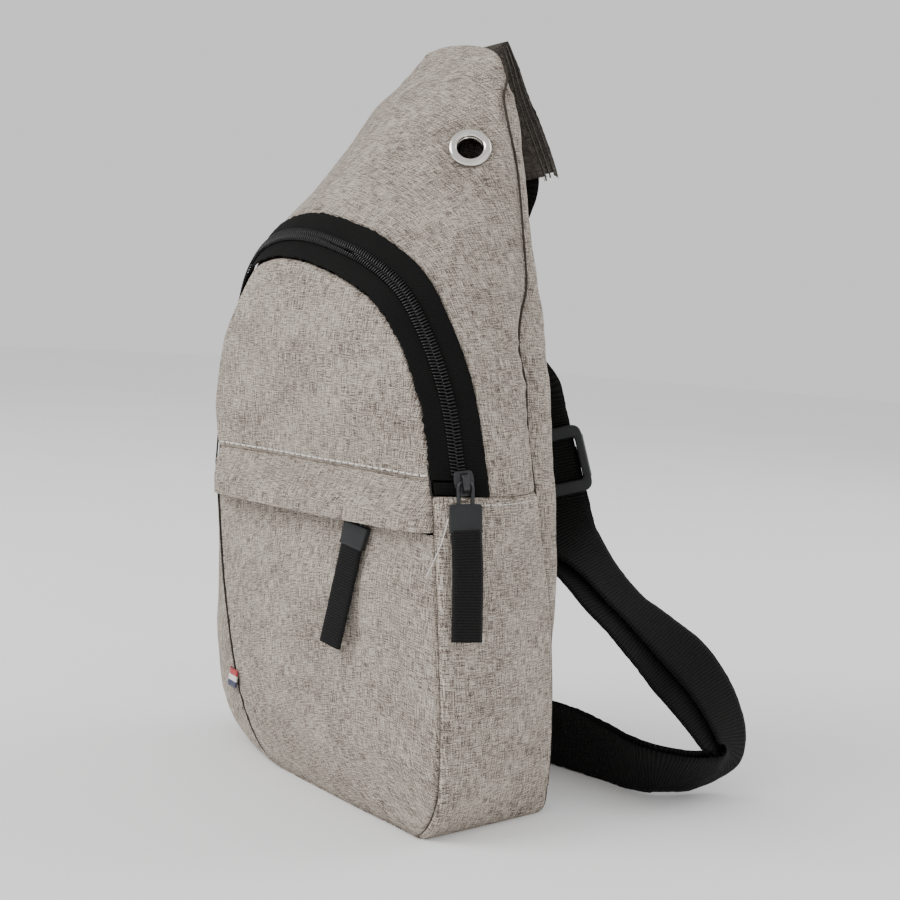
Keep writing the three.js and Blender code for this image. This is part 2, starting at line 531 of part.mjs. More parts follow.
const returnRun = loopRun.map(([point, lean, inside, shift], i) => {
  const along = loopPath.getTangent((i + 1) / (loopRun.length + 1));
  const width = lean.clone().addScaledVector(along, -lean.dot(along)).normalize();
  const inward = along.clone().cross(width);
  return [point.clone().addScaledVector(inward, inside).addScaledVector(width, shift), lean];
}).reverse();
const strap = [...upperRun, ...loopRun, ...ringTurn, ...returnRun,
  [onRun(0.3, -24, -6.1), facing], [onRun(0, -16, -5.75), facing]];
place('strap_webbing', webbing(strap, WEBBING, WEBBING_THICK, 176), blackWebbing);

// The free end of the webbing, sewn round the adjuster's middle bar.
const endTurn = [[-11, -1.75], [-6, -1.75], [1.2, -1.75], [4.2, -2.4], [5.2, -3.75], [4.2, -5.1],
  [1.2, -5.75], [-6, -5.75], [-15, -5.75]];
place('strap_sewn_end', webbing(endTurn.map(([y, z]) => [onRun(0, y, z), facing]), WEBBING, WEBBING_THICK, 24),
  blackWebbing);

// Adjuster: two outer bars in front of the webbing, the middle bar behind it, joined by side rails.
const ADJUSTER = { width: 39, height: 33, bar: 6, rail: 3.6 };
const frameHole = roundedRect(ADJUSTER.width - 2 * ADJUSTER.rail, ADJUSTER.height - 2 * ADJUSTER.bar, 1.5);
const frontFrame = roundedRect(ADJUSTER.width, ADJUSTER.height, 5);
frontFrame.holes.push(frameHole);
const railBlock = side => new THREE.BoxGeometry(ADJUSTER.rail, ADJUSTER.height - 12, 7.75)
  .translate(side * (ADJUSTER.width - ADJUSTER.rail) / 2, 0, -0.875);
const middleBar = new THREE.BoxGeometry(ADJUSTER.width - 1, 4, 2).translate(0, 0, -3.75);
place('strap_adjuster', join(plate(frontFrame, 2, 1.02), railBlock(1), railBlock(-1), middleBar)
  .applyMatrix4(adjusterFrame), greyPlastic);

// Bottom ring, standing on edge, and the webbing tab that ties it to the left back seam.
const ringAt = vec(-60.3, 60.4, RING_Z);
const ringPoint = (x, z) => ringAt.clone().add(vec(x, 0, z));
const ringPath = new THREE.CatmullRomCurve3([
  ringPoint(5.7, 0), ringPoint(5.7, 14), ringPoint(4.6, 16.8), ringPoint(0, 17.4), ringPoint(-4.6, 16.8),
  ringPoint(-5.7, 14), ringPoint(-5.7, 0), ringPoint(-5.7, -14), ringPoint(-4.6, -16.8), ringPoint(0, -17.4),
  ringPoint(4.6, -16.8), ringPoint(5.7, -14)], true, 'centripetal');
place('bottom_ring', new THREE.TubeGeometry(ringPath, 36, 1.3, 6, true), greyPlastic);
const tabPath = [[-90.6, 26.5], [-90.2, 38], [-84, 48], [-75, 55.5], [-69.5, 57.9], [-66, 57.6], [-63.2, 60.4],
  [-66, 63.2], [-70, 62.4], [-77, 58.6], [-87, 50], [-92.8, 40], [-93, 26.5]];
place('bottom_tab', webbing(tabPath.map(([x, y]) => [vec(x, y, RING_Z), upright]), WEBBING - 1, 1.2, 48),
  blackWebbing);

// Top tab: two fabric layers that hold the strap's upper end between them.
const tabLine = [[4, 39.9, 338.2], [4.8, 44.2, 330], [6.3, 49.2, 317.8], [9.8, 57, 301],
  [13, 64.2, 285.6]];
const tabLayer = lift => tabLine.map(([x, y, z]) => [vec(x, y + 0.9 * lift, z + 0.43 * lift), flat]);
place('top_tab_inner', webbing(tabLayer(0), 42, FABRIC, 12), darkFabric);
place('top_tab_outer', webbing(tabLayer(3.9), 42, FABRIC, 12), darkFabric);

// Woven ribbon folded into the left front seam.
const tagSeat = frontLeft(33).add(vec(0, -FACE - 1.2, 0));
place('side_ribbon_tag', webbing([[4, -1.6], [0, -0.7], [-4, 0.2], [-7.5, 2.6]].map(([x, y]) =>
  [tagSeat.clone().add(vec(x, y, 0)), vec(0.25, 0, 1)]), 9, 1, 8), ribbonWeave);

export default bag;
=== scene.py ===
"""Sling bag: fabric, zips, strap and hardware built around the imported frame.

Lengths in this script are millimetres in the frame's axes until a mesh is made, and then metres.
"""
import math

import bmesh
import bpy
import numpy as np
from mathutils import Matrix, Vector, noise


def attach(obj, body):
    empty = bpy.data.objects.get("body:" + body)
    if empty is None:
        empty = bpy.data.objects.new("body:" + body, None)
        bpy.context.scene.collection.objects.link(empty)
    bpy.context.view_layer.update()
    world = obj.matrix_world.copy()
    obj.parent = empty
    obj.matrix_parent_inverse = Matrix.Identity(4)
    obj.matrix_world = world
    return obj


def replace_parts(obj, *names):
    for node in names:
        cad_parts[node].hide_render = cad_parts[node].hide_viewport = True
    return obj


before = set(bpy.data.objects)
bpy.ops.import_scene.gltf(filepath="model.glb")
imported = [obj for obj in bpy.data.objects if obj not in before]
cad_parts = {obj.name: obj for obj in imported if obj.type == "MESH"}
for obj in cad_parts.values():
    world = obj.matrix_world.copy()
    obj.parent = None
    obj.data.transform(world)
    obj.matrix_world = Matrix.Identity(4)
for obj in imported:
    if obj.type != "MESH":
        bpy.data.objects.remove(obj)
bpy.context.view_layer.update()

MM = 0.001
UP = np.array([0.0, 0.0, 1.0])
FLOOR_CLEAR = 0.1            # the lowest a cloth panel reaches
CLOTH_THICK = 1.2



def added(name, data):
    """A scene object of a mesh, curve, lamp or camera."""
    made = bpy.data.objects.new(name, data)
    bpy.context.scene.collection.objects.link(made)
    return made


def unit(vectors):
    """Rows of vectors scaled to length one."""
    return vectors / np.linalg.norm(vectors, axis=1, keepdims=True)


# ---- camera ----
AZIMUTH, PITCH, ROLL = math.radians(45.21), math.radians(4.89), math.radians(3.6)
SENSOR_WIDTH = 36
FOCAL_LENGTH = 1365.1 / 900 * SENSOR_WIDTH
EYE = Vector((0.46475, -0.41702, 0.2067))


def add_camera():
    ca, sa, ce, se = math.cos(AZIMUTH), math.sin(AZIMUTH), math.cos(PITCH), math.sin(PITCH)
    ahead = Vector((-sa * ce, ca * ce, -se))
    right = Vector((ca, sa, 0))
    above = right.cross(ahead)
    x = right * math.cos(ROLL) + above * math.sin(ROLL)
    y = above * math.cos(ROLL) - right * math.sin(ROLL)
    data = bpy.data.cameras.new("camera")
    data.sensor_width = SENSOR_WIDTH
    data.lens = FOCAL_LENGTH
    camera = added("camera", data)
    camera.matrix_world = Matrix((
        (x.x, y.x, -ahead.x, EYE.x), (x.y, y.y, -ahead.y, EYE.y),
        (x.z, y.z, -ahead.z, EYE.z), (0, 0, 0, 1)))
    bpy.context.scene.camera = camera


add_camera()

# ---- materials ----


class Graph:
    """A material's node tree with short calls for the nodes used here."""

    def __init__(self, name, roughness, metallic=0.0, sheen=0.0, specular=0.5):
        self.material = bpy.data.materials.new(name)
        self.material.use_nodes = True
        self.tree = self.material.node_tree
        self.shader = self.tree.nodes["Principled BSDF"]
        for socket, value in (("Roughness", roughness), ("Metallic", metallic), ("Sheen Weight", sheen),
                              ("Sheen Roughness", 0.5), ("Specular IOR Level", specular)):
            self.shader.inputs[socket].default_value = value

    def node(self, kind, inputs=(), **settings):
        made = self.tree.nodes.new(kind)
        for key, value in settings.items():
            setattr(made, key, value)
        for key, value in dict(inputs).items():
            if isinstance(value, bpy.types.NodeSocket):
                self.tree.links.new(value, made.inputs[key])
            else:
                made.inputs[key].default_value = value
        return made

    def weave_place(self, scale):
        """Coordinates along the cloth, in units of 1/scale millimetres along u and v."""
        uv = self.node("ShaderNodeUVMap", uv_map="weave").outputs["UV"]
        return self.node("ShaderNodeMapping", {"Vector": uv, "Scale": (scale[0] / MM, scale[1] / MM, 1)})\
            .outputs["Vector"]

    def object_place(self, scale=1.0):
        at = self.node("ShaderNodeTexCoord").outputs["Object"]
        return self.node("ShaderNodeMapping", {"Vector": at, "Scale": (scale / MM,) * 3}).outputs["Vector"]

    def noise(self, place, scale=1.0, detail=2.0, roughness=0.5):
        return self.node("ShaderNodeTexNoise", {
            "Vector": place, "Scale": scale, "Detail": detail, "Roughness": roughness}).outputs["Fac"]

    def wave(self, place, direction="X", distortion=0.0):
        return self.node("ShaderNodeTexWave", {
            "Vector": place, "Scale": 1.0, "Distortion": distortion, "Detail": 1.0,
        }, bands_direction=direction, wave_profile="SIN").outputs["Fac"]

    def math(self, operation, a, b):
        return self.node("ShaderNodeMath", {0: a, 1: b}, operation=operation).outputs[0]

    def total(self, *parts):
        """Sum of sockets, each with its weight."""
        shares = [self.math("MULTIPLY", socket, weight) for socket, weight in parts]
        while len(shares) > 1:
            shares[:2] = [self.math("ADD", shares[0], shares[1])]
        return shares[0]

    def ramp(self, factor, stops):
        made = self.node("ShaderNodeValToRGB", {"Fac": factor})
        elements = made.color_ramp.elements
        while len(elements) < len(stops):
            elements.new(0.5)
        for element, (position, colour) in zip(elements, stops):
            element.position = position
            element.color = (*colour, 1)
        return made.outputs["Color"]

    def colour(self, socket):
        self.tree.links.new(socket, self.shader.inputs["Base Color"])

    def bump(self, height, strength, distance):
        made = self.node("ShaderNodeBump", {
            "Height": height, "Strength": strength, "Distance": distance * MM})
        self.tree.links.new(made.outputs["Normal"], self.shader.inputs["Normal"])


def melange_fabric(name, dark, middle, light, slub=0.7):
    """Two-tone plain weave with thick and thin yarns both ways."""
    g = Graph(name, 0.92, sheen=0.05, specular=0.12)
    weft = g.noise(g.weave_place((0.2, 2.7)), 1.0, 1, 0.5)
    warp = g.noise(g.weave_place((2.7, 0.17)), 1.0, 1, 0.5)
    grain = g.noise(g.weave_place((2.0, 2.0)), 1.0, 2, 0.7)
    patch = g.noise(g.weave_place((0.03, 0.045)), 1.0, 2, 0.5)
    mixed = g.total((weft, 0.26), (warp, 0.26), (grain, 0.44), (patch, 0.08))
    base = g.ramp(mixed, [(0.446, dark), (0.512, middle), (0.579, light)])
    long_weft = g.noise(g.weave_place((0.045, 1.9)), 1.0, 1, 0.5)
    long_warp = g.noise(g.weave_place((1.9, 0.04)), 1.0, 1, 0.5)
    slubs = g.node("ShaderNodeMapRange", {"Value": g.math("MAXIMUM", long_weft, long_warp), "From Min": 0.64,
                                          "From Max": 0.80, "To Max": slub}).outputs["Result"]
    blend = g.node("ShaderNodeMix", {0: slubs, 6: base, 7: (*light, 1)}, data_type="RGBA")
    g.colour(blend.outputs[2])
    over = g.wave(g.weave_place((0.0, 0.50)), "Y")
    under = g.wave(g.weave_place((0.50, 0.0)), "X")
    threads = g.math("MULTIPLY", over, under)
    g.bump(g.total((threads, 0.5), (mixed, 1.8)), 0.9, 0.45)
    return g.material


def ribbed_cloth(name, dark, light, pitch, cross_pitch, roughness=0.75, sheen=0.15, strength=0.6,
                 relief=0.4):
    """Narrow woven goods: ribs across the width with a finer thread along it; the rib crests are coloured lighter as
    painted highlight and the grooves darker as painted shade.
    """
    g = Graph(name, roughness, sheen=sheen, specular=0.14)
    rib = g.wave(g.weave_place((0.0, 0.314 / pitch)), "Y", distortion=0.4)
    thread = g.wave(g.weave_place((0.314 / cross_pitch, 0.0)), "X")
    fuzz = g.noise(g.weave_place((0.8, 0.8)), 1.0, 3, 0.65)
    wear = g.noise(g.weave_place((0.05, 0.03)), 1.0, 2, 0.5)
    height = g.total((rib, 1), (thread, 0.35))
    # The colour follows the rib height: painted highlight on the crests and painted shade in the grooves, mixed with
    # fuzz and random tone.
    tone = g.total((height, 0.35), (fuzz, 0.4), (wear, 0.25))
    g.colour(g.ramp(tone, [(0.3, dark), (0.8, light)]))
    g.bump(g.total((height, 1), (fuzz, 0.5)), strength, relief)
    return g.material


def smooth_solid(name, dark, light, roughness, metallic=0.0, grain=2.0, strength=0.12, depth=0.05, specular=0.5):
    """Moulded plastic or plated metal with a fine grain and slight tone changes."""
    g = Graph(name, roughness, metallic, specular=specular)
    fine = g.noise(g.object_place(), grain, 3, 0.6)
    broad = g.noise(g.object_place(), 0.12, 2, 0.5)
    tone = g.total((fine, 0.45), (broad, 0.55))
    g.colour(g.ramp(tone, [(0.3, dark), (0.7, light)]))
    rough = g.node("ShaderNodeMapRange", {"Value": tone, "From Min": 0.3, "From Max": 0.7,
                                          "To Min": roughness * 0.85, "To Max": roughness * 1.15})
    g.tree.links.new(rough.outputs["Result"], g.shader.inputs["Roughness"])
    g.bump(fine, strength, depth)
    return g.material


def striped_ribbon():
    g = Graph("ribbon_weave", 0.7, sheen=0.2)
    across = g.node("ShaderNodeSeparateXYZ", {0: g.weave_place((0.1, 0.1))}).outputs["X"]
    bands = [(0.0, (0.015, 0.02, 0.07)), (0.36, (0.75, 0.73, 0.70)), (0.64, (0.42, 0.02, 0.03))]
    colours = g.ramp(g.math("ADD", across, 0.5), bands)
    colours.node.color_ramp.interpolation = "CONSTANT"
    g.colour(colours)
    g.bump(g.wave(g.weave_place((0.6, 0.0)), "X"), 0.4, 0.2)
    return g.material


GREY = melange_fabric("grey_melange", (0.080, 0.064, 0.053), (0.295, 0.248, 0.208), (0.66, 0.595, 0.51))
DARK = melange_fabric("dark_grey_cloth", (0.035, 0.030, 0.026), (0.085, 0.074, 0.064), (0.17, 0.15, 0.13), 0.3)
TAPE = ribbed_cloth("zip_tape_weave", (0.0015, 0.0015, 0.0015), (0.009, 0.0085, 0.008), 0.9, 0.7, 0.9, 0.0, 0.35)
WEBBING = ribbed_cloth("strap_weave", (0.001, 0.001, 0.001), (0.013, 0.0125, 0.012), 1.5, 1.0, 0.8, 0.0, 1.0,
                       0.8)
PULL = ribbed_cloth("pull_weave", (0.0015, 0.0015, 0.0015), (0.016, 0.016, 0.0155), 1.15, 0.7, 0.7, 0.03, 0.6)
LINING = ribbed_cloth("lining_weave", (0.004, 0.004, 0.004), (0.014, 0.014, 0.014), 0.8, 0.8, 0.85, 0.0, 0.3)
NYLON = smooth_solid("coil_nylon", (0.003, 0.003, 0.003), (0.008, 0.008, 0.008), 0.3)
PLASTIC = smooth_solid("grey_plastic", (0.014, 0.015, 0.016), (0.024, 0.026, 0.027), 0.52, 0.0, 3.0, 0.2, 0.05, 0.28)
GUNMETAL = smooth_solid("gunmetal", (0.035, 0.035, 0.037), (0.065, 0.065, 0.068), 0.36, 0.85)
SILVER = smooth_solid("nickel", (0.62, 0.60, 0.56), (0.80, 0.78, 0.73), 0.16, 1.0, 1.2, 0.05, 0.03)
THREAD_LIGHT = smooth_solid("light_thread", (0.72, 0.70, 0.66), (0.85, 0.83, 0.80), 0.8, 0.0, 4.0)
# Partly the seam's own dark edge, partly painted shade for the front seam crease.
DARK_SEAM_AND_SHADE = smooth_solid("dark_seam_and_shade", (0.018, 0.015, 0.013), (0.04, 0.035, 0.03), 0.9, 0.0, 4.0)
# Dark grey seam thread that also stands for the painted shade of the back seam crease.
SEAM_THREAD_AND_SHADE = smooth_solid("seam_thread_and_shade", (0.030, 0.025, 0.021), (0.065, 0.055, 0.046), 0.9, 0.0, 4.0, specular=0.1)
RIBBON = striped_ribbon()

# ---- guiding curves ----


class Track:
    """Centripetal Catmull-Rom curve through its points; t runs evenly over the spans."""

    def __init__(self, *points):
        p = np.array(points, float)
        self.spans = len(p) - 1
        self.p = np.vstack([2 * p[0] - p[1], p, 2 * p[-1] - p[-2]])

    def __call__(self, t):
        x = np.clip(np.asarray(t, float), 0, 1) * self.spans
        i = np.minimum(x.astype(int), self.spans - 1)
        w = (x - i)[..., None]
        p0, p1, p2, p3 = (self.p[i + k] for k in range(4))
        d0, d1, d2 = (np.maximum(np.linalg.norm(b - a, axis=-1), 1e-6)[..., None] ** 0.5
                      for a, b in ((p0, p1), (p1, p2), (p2, p3)))
        t1 = ((p1 - p0) / d0 - (p2 - p0) / (d0 + d1) + (p2 - p1) / d1) * d1
        t2 = ((p2 - p1) / d1 - (p3 - p1) / (d1 + d2) + (p3 - p2) / d2) * d1
        made = p1 + t1 * w + (3 * (p2 - p1) - 2 * t1 - t2) * w ** 2 + (2 * (p1 - p2) + t1 + t2) * w ** 3
        return made


def arc_lengths(points, axis):
    steps = np.linalg.norm(np.diff(points, axis=axis), axis=-1)
    total = np.cumsum(steps, axis=axis)
    zero = np.zeros_like(np.take(total, [0], axis=axis))
    return np.concatenate([zero, total], axis=axis)


def smoothstep(x, low, high):
    s = np.clip((np.asarray(x, float) - low) / (high - low), 0, 1)
    return s * s * (3 - 2 * s)


SEAM_Y, ZIP_END_Z, HINGE_Z, BAND = 24, 141, 147, 24
SIDE_FRONT = Track(
    (77, -39.5, 140.6), (83.5, -39, 96), (88.5, -38.5, 48), (87.5, -37.5, 16), (76, -36, 0), (30, -33, 0),
    (-18, -29, 0), (-42, -26, 5), (-64, -23, 24), (-75, -27, 70), (-76, -36, 140.6))
SIDE_BACK = Track(
    (81, SEAM_Y, 140.6), (85, SEAM_Y, 96), (87, SEAM_Y, 48), (87, SEAM_Y, 14), (83, SEAM_Y, 0),
    (30, SEAM_Y, 0), (-30, SEAM_Y, 0), (-72, SEAM_Y, 0), (-86, SEAM_Y, 18), (-88, SEAM_Y, 70),
    (-81, SEAM_Y, 140.6))
ZIP_INNER = Track(
    (74.5, -38, 141.4), (70, -38, 156.5), (65.5, -38, 172), (59, -38.5, 186), (50, -39, 201),
    (37, -39.5, 214.5), (19, -39, 224), (0, -38, 230), (-20, -37.5, 234.5), (-40, -37, 235.5),
    (-55, -36.5, 231), (-63, -36, 222), (-68, -36, 205), (-73, -36, 180), (-75.5, -36, 141.4))
ZIP_OUTER = Track(
    (88.5, -19, 141.4), (84, -19, 158), (79.5, -19.5, 175), (74, -20.5, 191), (64, -22, 209),
    (49, -24, 230), (26, -26, 244.5), (2, -27, 252.5), (-20, -27, 256.5), (-42, -25, 255),
    (-61, -22, 248), (-75, -20, 235), (-83, -19, 212), (-87, -19, 182), (-88.5, -19, 141.4))
UPPER_SEAM = Track(
    (81, SEAM_Y, 141.4), (77.5, SEAM_Y, 162), (73, SEAM_Y, 186), (67, SEAM_Y, 214), (59, 24.5, 246),
    (48, 27, 283), (36, 30, 318), (23, 33, 335.5), (-20, 34, 339), (-27, 32, 328), (-40, 28, 296),
    (-54, 25.5, 258), (-66, SEAM_Y, 222), (-75, SEAM_Y, 182), (-81, SEAM_Y, 141.4))


# The back seam is pulled forwards and back again by the padding; [height, shift towards the back].
WAVE = np.array([(0, 6), (24, 5.5), (45, 5), (71, 3), (95, 0.5), (111, -3), (125, -5.5), (142, -8), (169, -10.5),
                 (187, -9.6), (203, -12), (216, -9), (229, -3.5), (250, -2), (284, -1.6), (300, -4.2),
                 (312, -5), (322, 0), (345, 0)], float)
WAVE_FINE = Track(*[(z, y, 0) for z, y in WAVE])(np.linspace(0, 1, 500))


def wave_y(z):
    return np.interp(z, WAVE_FINE[:, 0], WAVE_FINE[:, 1])


def bulge(v):
    return np.sin(np.pi * np.asarray(v, float) ** 0.75)


def side_wall(t, v):
    p = SIDE_FRONT(t) * (1 - v)[..., None] + SIDE_BACK(t) * v[..., None]
    p[..., 2] = np.maximum(p[..., 2], 0)
    p[..., 1] += v ** 1.5 * wave_y(p[..., 2])
    right = smoothstep(0.36 - t, 0, 0.36)
    left = smoothstep(t - 0.66, 0, 0.1)
    low = smoothstep(110 - p[..., 2], 0, 70)
    p[..., 0] += bulge(v) * (9.5 * right - (8 + 7 * low) * left)
    belly = np.interp(t, [0.63, 0.7, 0.8, 0.87, 0.9, 0.95, 1], [0, 9, 12, 9, 6, 2.5, 0.5])
    p[..., 0] -= belly * (v / 0.15) * np.exp(1 - v / 0.15)
    return p


def upper_wall(t, v):
    p = ZIP_OUTER(t) * (1 - v)[..., None] + UPPER_SEAM(t) * v[..., None]
    p[..., 1] += v ** 3 * wave_y(p[..., 2])
    dip = np.where(t < 0.5, 0, 7 * np.exp(-((t - 0.66) / 0.09) ** 2))
    lift = (4.5 - dip) * np.sin(np.pi * v)
    top = np.exp(-((t - 0.5) / 0.2) ** 2)
    p[..., 0] += lift * np.where(t < 0.5, 1 - top, top - 1)
    p[..., 1] -= 0.6 * lift * top
    p[..., 0] -= 11 * np.exp(-((t - 0.69) / 0.065) ** 2) * smoothstep(v, 0, 0.6)
    p[..., 2] += 0.3 * lift * top
    return p


def zip_band(t, width):
    """A point of the zip band, width millimetres out from its inner edge."""
    share = np.broadcast_to(np.asarray(width, float) / BAND, np.shape(t))[..., None]
    return ZIP_INNER(t) * (1 - share) + ZIP_OUTER(t) * share


def edge_at(side):
    """The front's side edge as a function of height."""
    lower = SIDE_FRONT(np.linspace(0.4, 0, 300) if side > 0 else np.linspace(0.6, 1, 300))
    upper = ZIP_INNER(np.linspace(0, 0.2, 120) if side > 0 else np.linspace(1, 0.8, 120))
    lower[:, 2] = np.maximum(lower[:, 2], 0)
    line = np.vstack([lower[lower[:, 2] < ZIP_END_Z], upper])
    line = line[np.argsort(line[:, 2], kind="stable")]
    return lambda z: np.stack([np.interp(z, line[:, 2], line[:, k]) for k in (0, 1)] + [z], -1)


front_right, front_left = edge_at(1), edge_at(-1)


def front_face(u, z):
    p = front_left(z) * (1 - u)[..., None] + front_right(z) * u[..., None]
    crown = 4 * np.minimum(1, z / 30) * (1 - (2 * u - 1) ** 2)
    p[..., 1] -= crown * (1 - smoothstep(z, 96, 124))
    return p


# Lines that neighbouring panels tuck into, a little inside the outer faces.
def nearest(points, line):
    flat = points.reshape(-1, 3)
    out = np.empty_like(flat)
    for i, p in enumerate(flat):
        out[i] = line[np.argmin(np.sum((line - p) ** 2, axis=1))]
    return out.reshape(points.shape)


def tucked(line, centre, inward, deeper):
    """The line moved towards a middle axis by inward and along Y by deeper millimetres."""
    to = centre - line
    to[:, 1] = 0
    to = unit(to)
    return line + to * inward + np.array([0, deeper, 0])


DENSE = np.linspace(0, 1, 1600)
END = np.ones_like(DENSE)
front_line = SIDE_FRONT(DENSE)
front_line[:, 2] = np.maximum(front_line[:, 2], 0)
FRONT_SEAM = tucked(np.vstack([ZIP_INNER(np.linspace(0.06, 0, 80)), front_line, ZIP_INNER(np.linspace(1, 0.94, 80))]),
                    np.array([0, 0, 75.0]), 1.1, 1.1)
BACK_LINE = np.vstack([upper_wall(DENSE, END), side_wall(DENSE, END)[::-1]])
BACK_SEAM = tucked(BACK_LINE, np.array([0, 0, 140.0]), 0.9, 0.2)


def tuck(points, edge, target, roll=2.2):
    """Bend a grid's edge into its seam: edge is (axis, end), target the line the boundary lands on."""
    axis, end = edge
    p = np.swapaxes(points, 0, 1) if axis else points
    if end:
        p = p[::-1]
    away = arc_lengths(p, 0)
    share = np.clip(1 - away / roll, 0, 1)[..., None]
    shift = nearest(p[0], target) - p[0]
    p = p + shift[None] * (1 - np.sqrt(np.maximum(1 - share ** 2, 0)))
    if end:
        p = p[::-1]
    return np.swapaxes(p, 0, 1) if axis else p


# ---- mesh builders ----


def linked(name, mesh, body):
    """The object of a finished mesh, riding a CAD body."""
    piece = added(name, mesh)
    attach(piece, body)
    return piece


def new_piece(name, vertices, faces, material, body, uv=None):
    """A mesh piece in metres from millimetre vertices. uv gives cloth millimetres per vertex."""
    mesh = bpy.data.meshes.new(name)
    mesh.from_pydata((np.asarray(vertices, float) * MM).tolist(), [], [list(f) for f in faces])
    if uv is not None:
        layer = mesh.uv_layers.new(name="weave")
        corner = np.zeros(len(mesh.loops), int)
        mesh.loops.foreach_get("vertex_index", corner)
        layer.data.foreach_set("uv", (np.asarray(uv, float)[corner] * MM).ravel())
    mesh.polygons.foreach_set("use_smooth", [True] * len(mesh.polygons))
    mesh.materials.append(material)
    return linked(name, mesh, body)


def grid_normals(points):
    du = np.gradient(points, axis=0)
    dv = np.gradient(points, axis=1)
    n = np.cross(du, dv)
    return n / np.maximum(np.linalg.norm(n, axis=-1, keepdims=True), 1e-9)


def grid_faces(rows, columns):
    corners = (i * columns + j for i in range(rows - 1) for j in range(columns - 1))
    return [(c, c + columns, c + columns + 1, c + 1) for c in corners]


def loft_faces(rows, ring, closed=False, start=0):
    """Faces over a stack of rings of points, capped at both ends unless the stack closes on itself."""
    faces = []
    for i in range(rows if closed else rows - 1):
        a, b = start + i * ring, start + (i + 1) % rows * ring
        faces += [(a + k, a + (k + 1) % ring, b + (k + 1) % ring, b + k) for k in range(ring)]
    if not closed:
        last = start + (rows - 1) * ring
        faces += [tuple(range(start, start + ring))[::-1], tuple(range(last, last + ring))]
    return faces


def turbulence(points, size, seed=0.0, octaves=2):
    flat = points.reshape(-1, 3) / size
    shift = Vector((seed * 17.3, seed * 5.1, seed * 9.7))
    values = [noise.fractal(Vector(p) + shift, 1.0, 2.0, octaves) for p in flat]
    return np.array(values).reshape(points.shape[:-1])


def cloth_relief(points, normals, du, dv, slack=1.2, pucker=0.35, roll=1.5, seed=0.0, top=1.0):
    """Roll the edges into the seams, pucker along them and let the middle of a panel lie uneven."""
    to_u = np.minimum(du, du.max(axis=0, keepdims=True) - du)
    to_v = np.minimum(dv, dv.max(axis=1, keepdims=True) - dv)
    edge = np.minimum(to_u, to_v)
    inside = np.clip(edge / roll, 0, 1)
    rolled = -roll * (1 - np.sqrt(np.maximum(1 - (1 - inside) ** 2, 0)))
    along = np.where(to_u < to_v, dv, du)
    ripple = np.sin(along / 9.0 * 2 * np.pi + 3 * turbulence(points, 30, seed + 3))
    ripple = ripple * turbulence(points, 22, seed + 7) * np.exp(-edge / 5.0) * np.clip(edge / 1.5, 0, 1)
    uneven = turbulence(points, 46, seed) * smoothstep(edge, 0, 18) * slack
    fine = turbulence(points, 14, seed + 11) * smoothstep(edge, 0, 8) * slack * 0.22
    raised = 2.4 * pucker * ripple + uneven + fine
    return points + normals * (rolled + np.minimum(raised, top + 0.25 * (raised - top)))[..., None]


def thicken(piece, thickness, levels=0):
    if levels:
        smooth = piece.modifiers.new("fine", "SUBSURF")
        smooth.levels = smooth.render_levels = levels
    solid = piece.modifiers.new("cloth", "SOLIDIFY")
    solid.thickness = thickness * MM
    solid.offset = -1


def cloth_panel(name, points, material, relief, outward=None, thickness=CLOTH_THICK, holes=(), tucks=()):
    """A sewn panel from a grid of points; rows run along u and columns along v."""
    normals = grid_normals(points)
    if outward is not None and np.sum(normals.mean(axis=(0, 1)) * outward) < 0:
        normals = -normals
    du, dv = arc_lengths(points, 0), arc_lengths(points, 1)
    shape = cloth_relief(points, normals, du, dv, **relief)
    for edge, target in tucks:
        shape = tuck(shape, edge, target)
    shape[..., 2] = np.maximum(shape[..., 2], FLOOR_CLEAR)
    rows, columns = shape.shape[:2]
    faces = grid_faces(rows, columns)
    if np.sum(grid_normals(shape) * normals) < 0:
        faces = [f[::-1] for f in faces]
    uv = np.stack([du, dv], -1).reshape(-1, 2)
    vertices = shape.reshape(-1, 3)
    for centre, axis, radius in holes:
        offset = vertices - centre
        radial = offset - np.outer(offset @ axis, axis)
        distance = np.linalg.norm(radial, axis=1)
        near = distance < radius
        kept = [f for f in faces if not all(near[list(f)])]
        rim = near & np.isin(np.arange(len(vertices)), np.unique(np.array(kept)))
        vertices = vertices.copy()
        vertices[rim] += radial[rim] / np.maximum(distance[rim], 1e-6)[:, None] * (radius - distance[rim])[:, None]
        faces = kept
        used = np.unique(np.array(faces))
        order = -np.ones(len(vertices), int)
        order[used] = np.arange(len(used))
        vertices, uv = vertices[used], uv[used]
        faces = [tuple(order[list(f)]) for f in faces]
    piece = new_piece(name, vertices, faces, material, "bag_body", uv)
    thicken(piece, thickness, 1)
    return piece


def ribbon(name, centres, leans, width, thick, material, slot, body="bag_body", crown=0.15, rib=None, fray=0.0,
           section=9):
    """A flat band through centres, with rounded edges. leans are width directions."""
    centres, leans = np.asarray(centres, float), np.asarray(leans, float)
    along = unit(np.gradient(centres, axis=0))
    leans = leans - along * np.sum(leans * along, axis=1, keepdims=True)
    leans = unit(leans)
    normals = np.cross(along, leans)
    s = np.linspace(-1, 1, section)
    edge = np.sqrt(np.maximum(1 - np.abs(s) ** 16, 0))
    upper, lower = ([(a * width / 2, half * e + crown * (1 - a * a)) for a, e in zip(s, edge)]
                    for half in (thick / 2, -thick / 2))
    ring = upper + lower[-2:0:-1]
    length = arc_lengths(centres, 0)
    vertices, uv = [], []
    for i in range(len(centres)):
        swell = 1 + (rib[1] * math.sin(2 * math.pi * length[i] / rib[0]) if rib else 0)
        wobble = fray * (noise.noise(Vector((length[i] * 0.35, 3.1, 0))) if fray else 0)
        for a, b in ring:
            vertices.append(centres[i] + leans[i] * (a + wobble * np.sign(a)) + normals[i] * b * swell)
            uv.append((a, length[i]))
    return solid_piece(name, vertices, loft_faces(len(centres), len(ring)), material, body, uv)


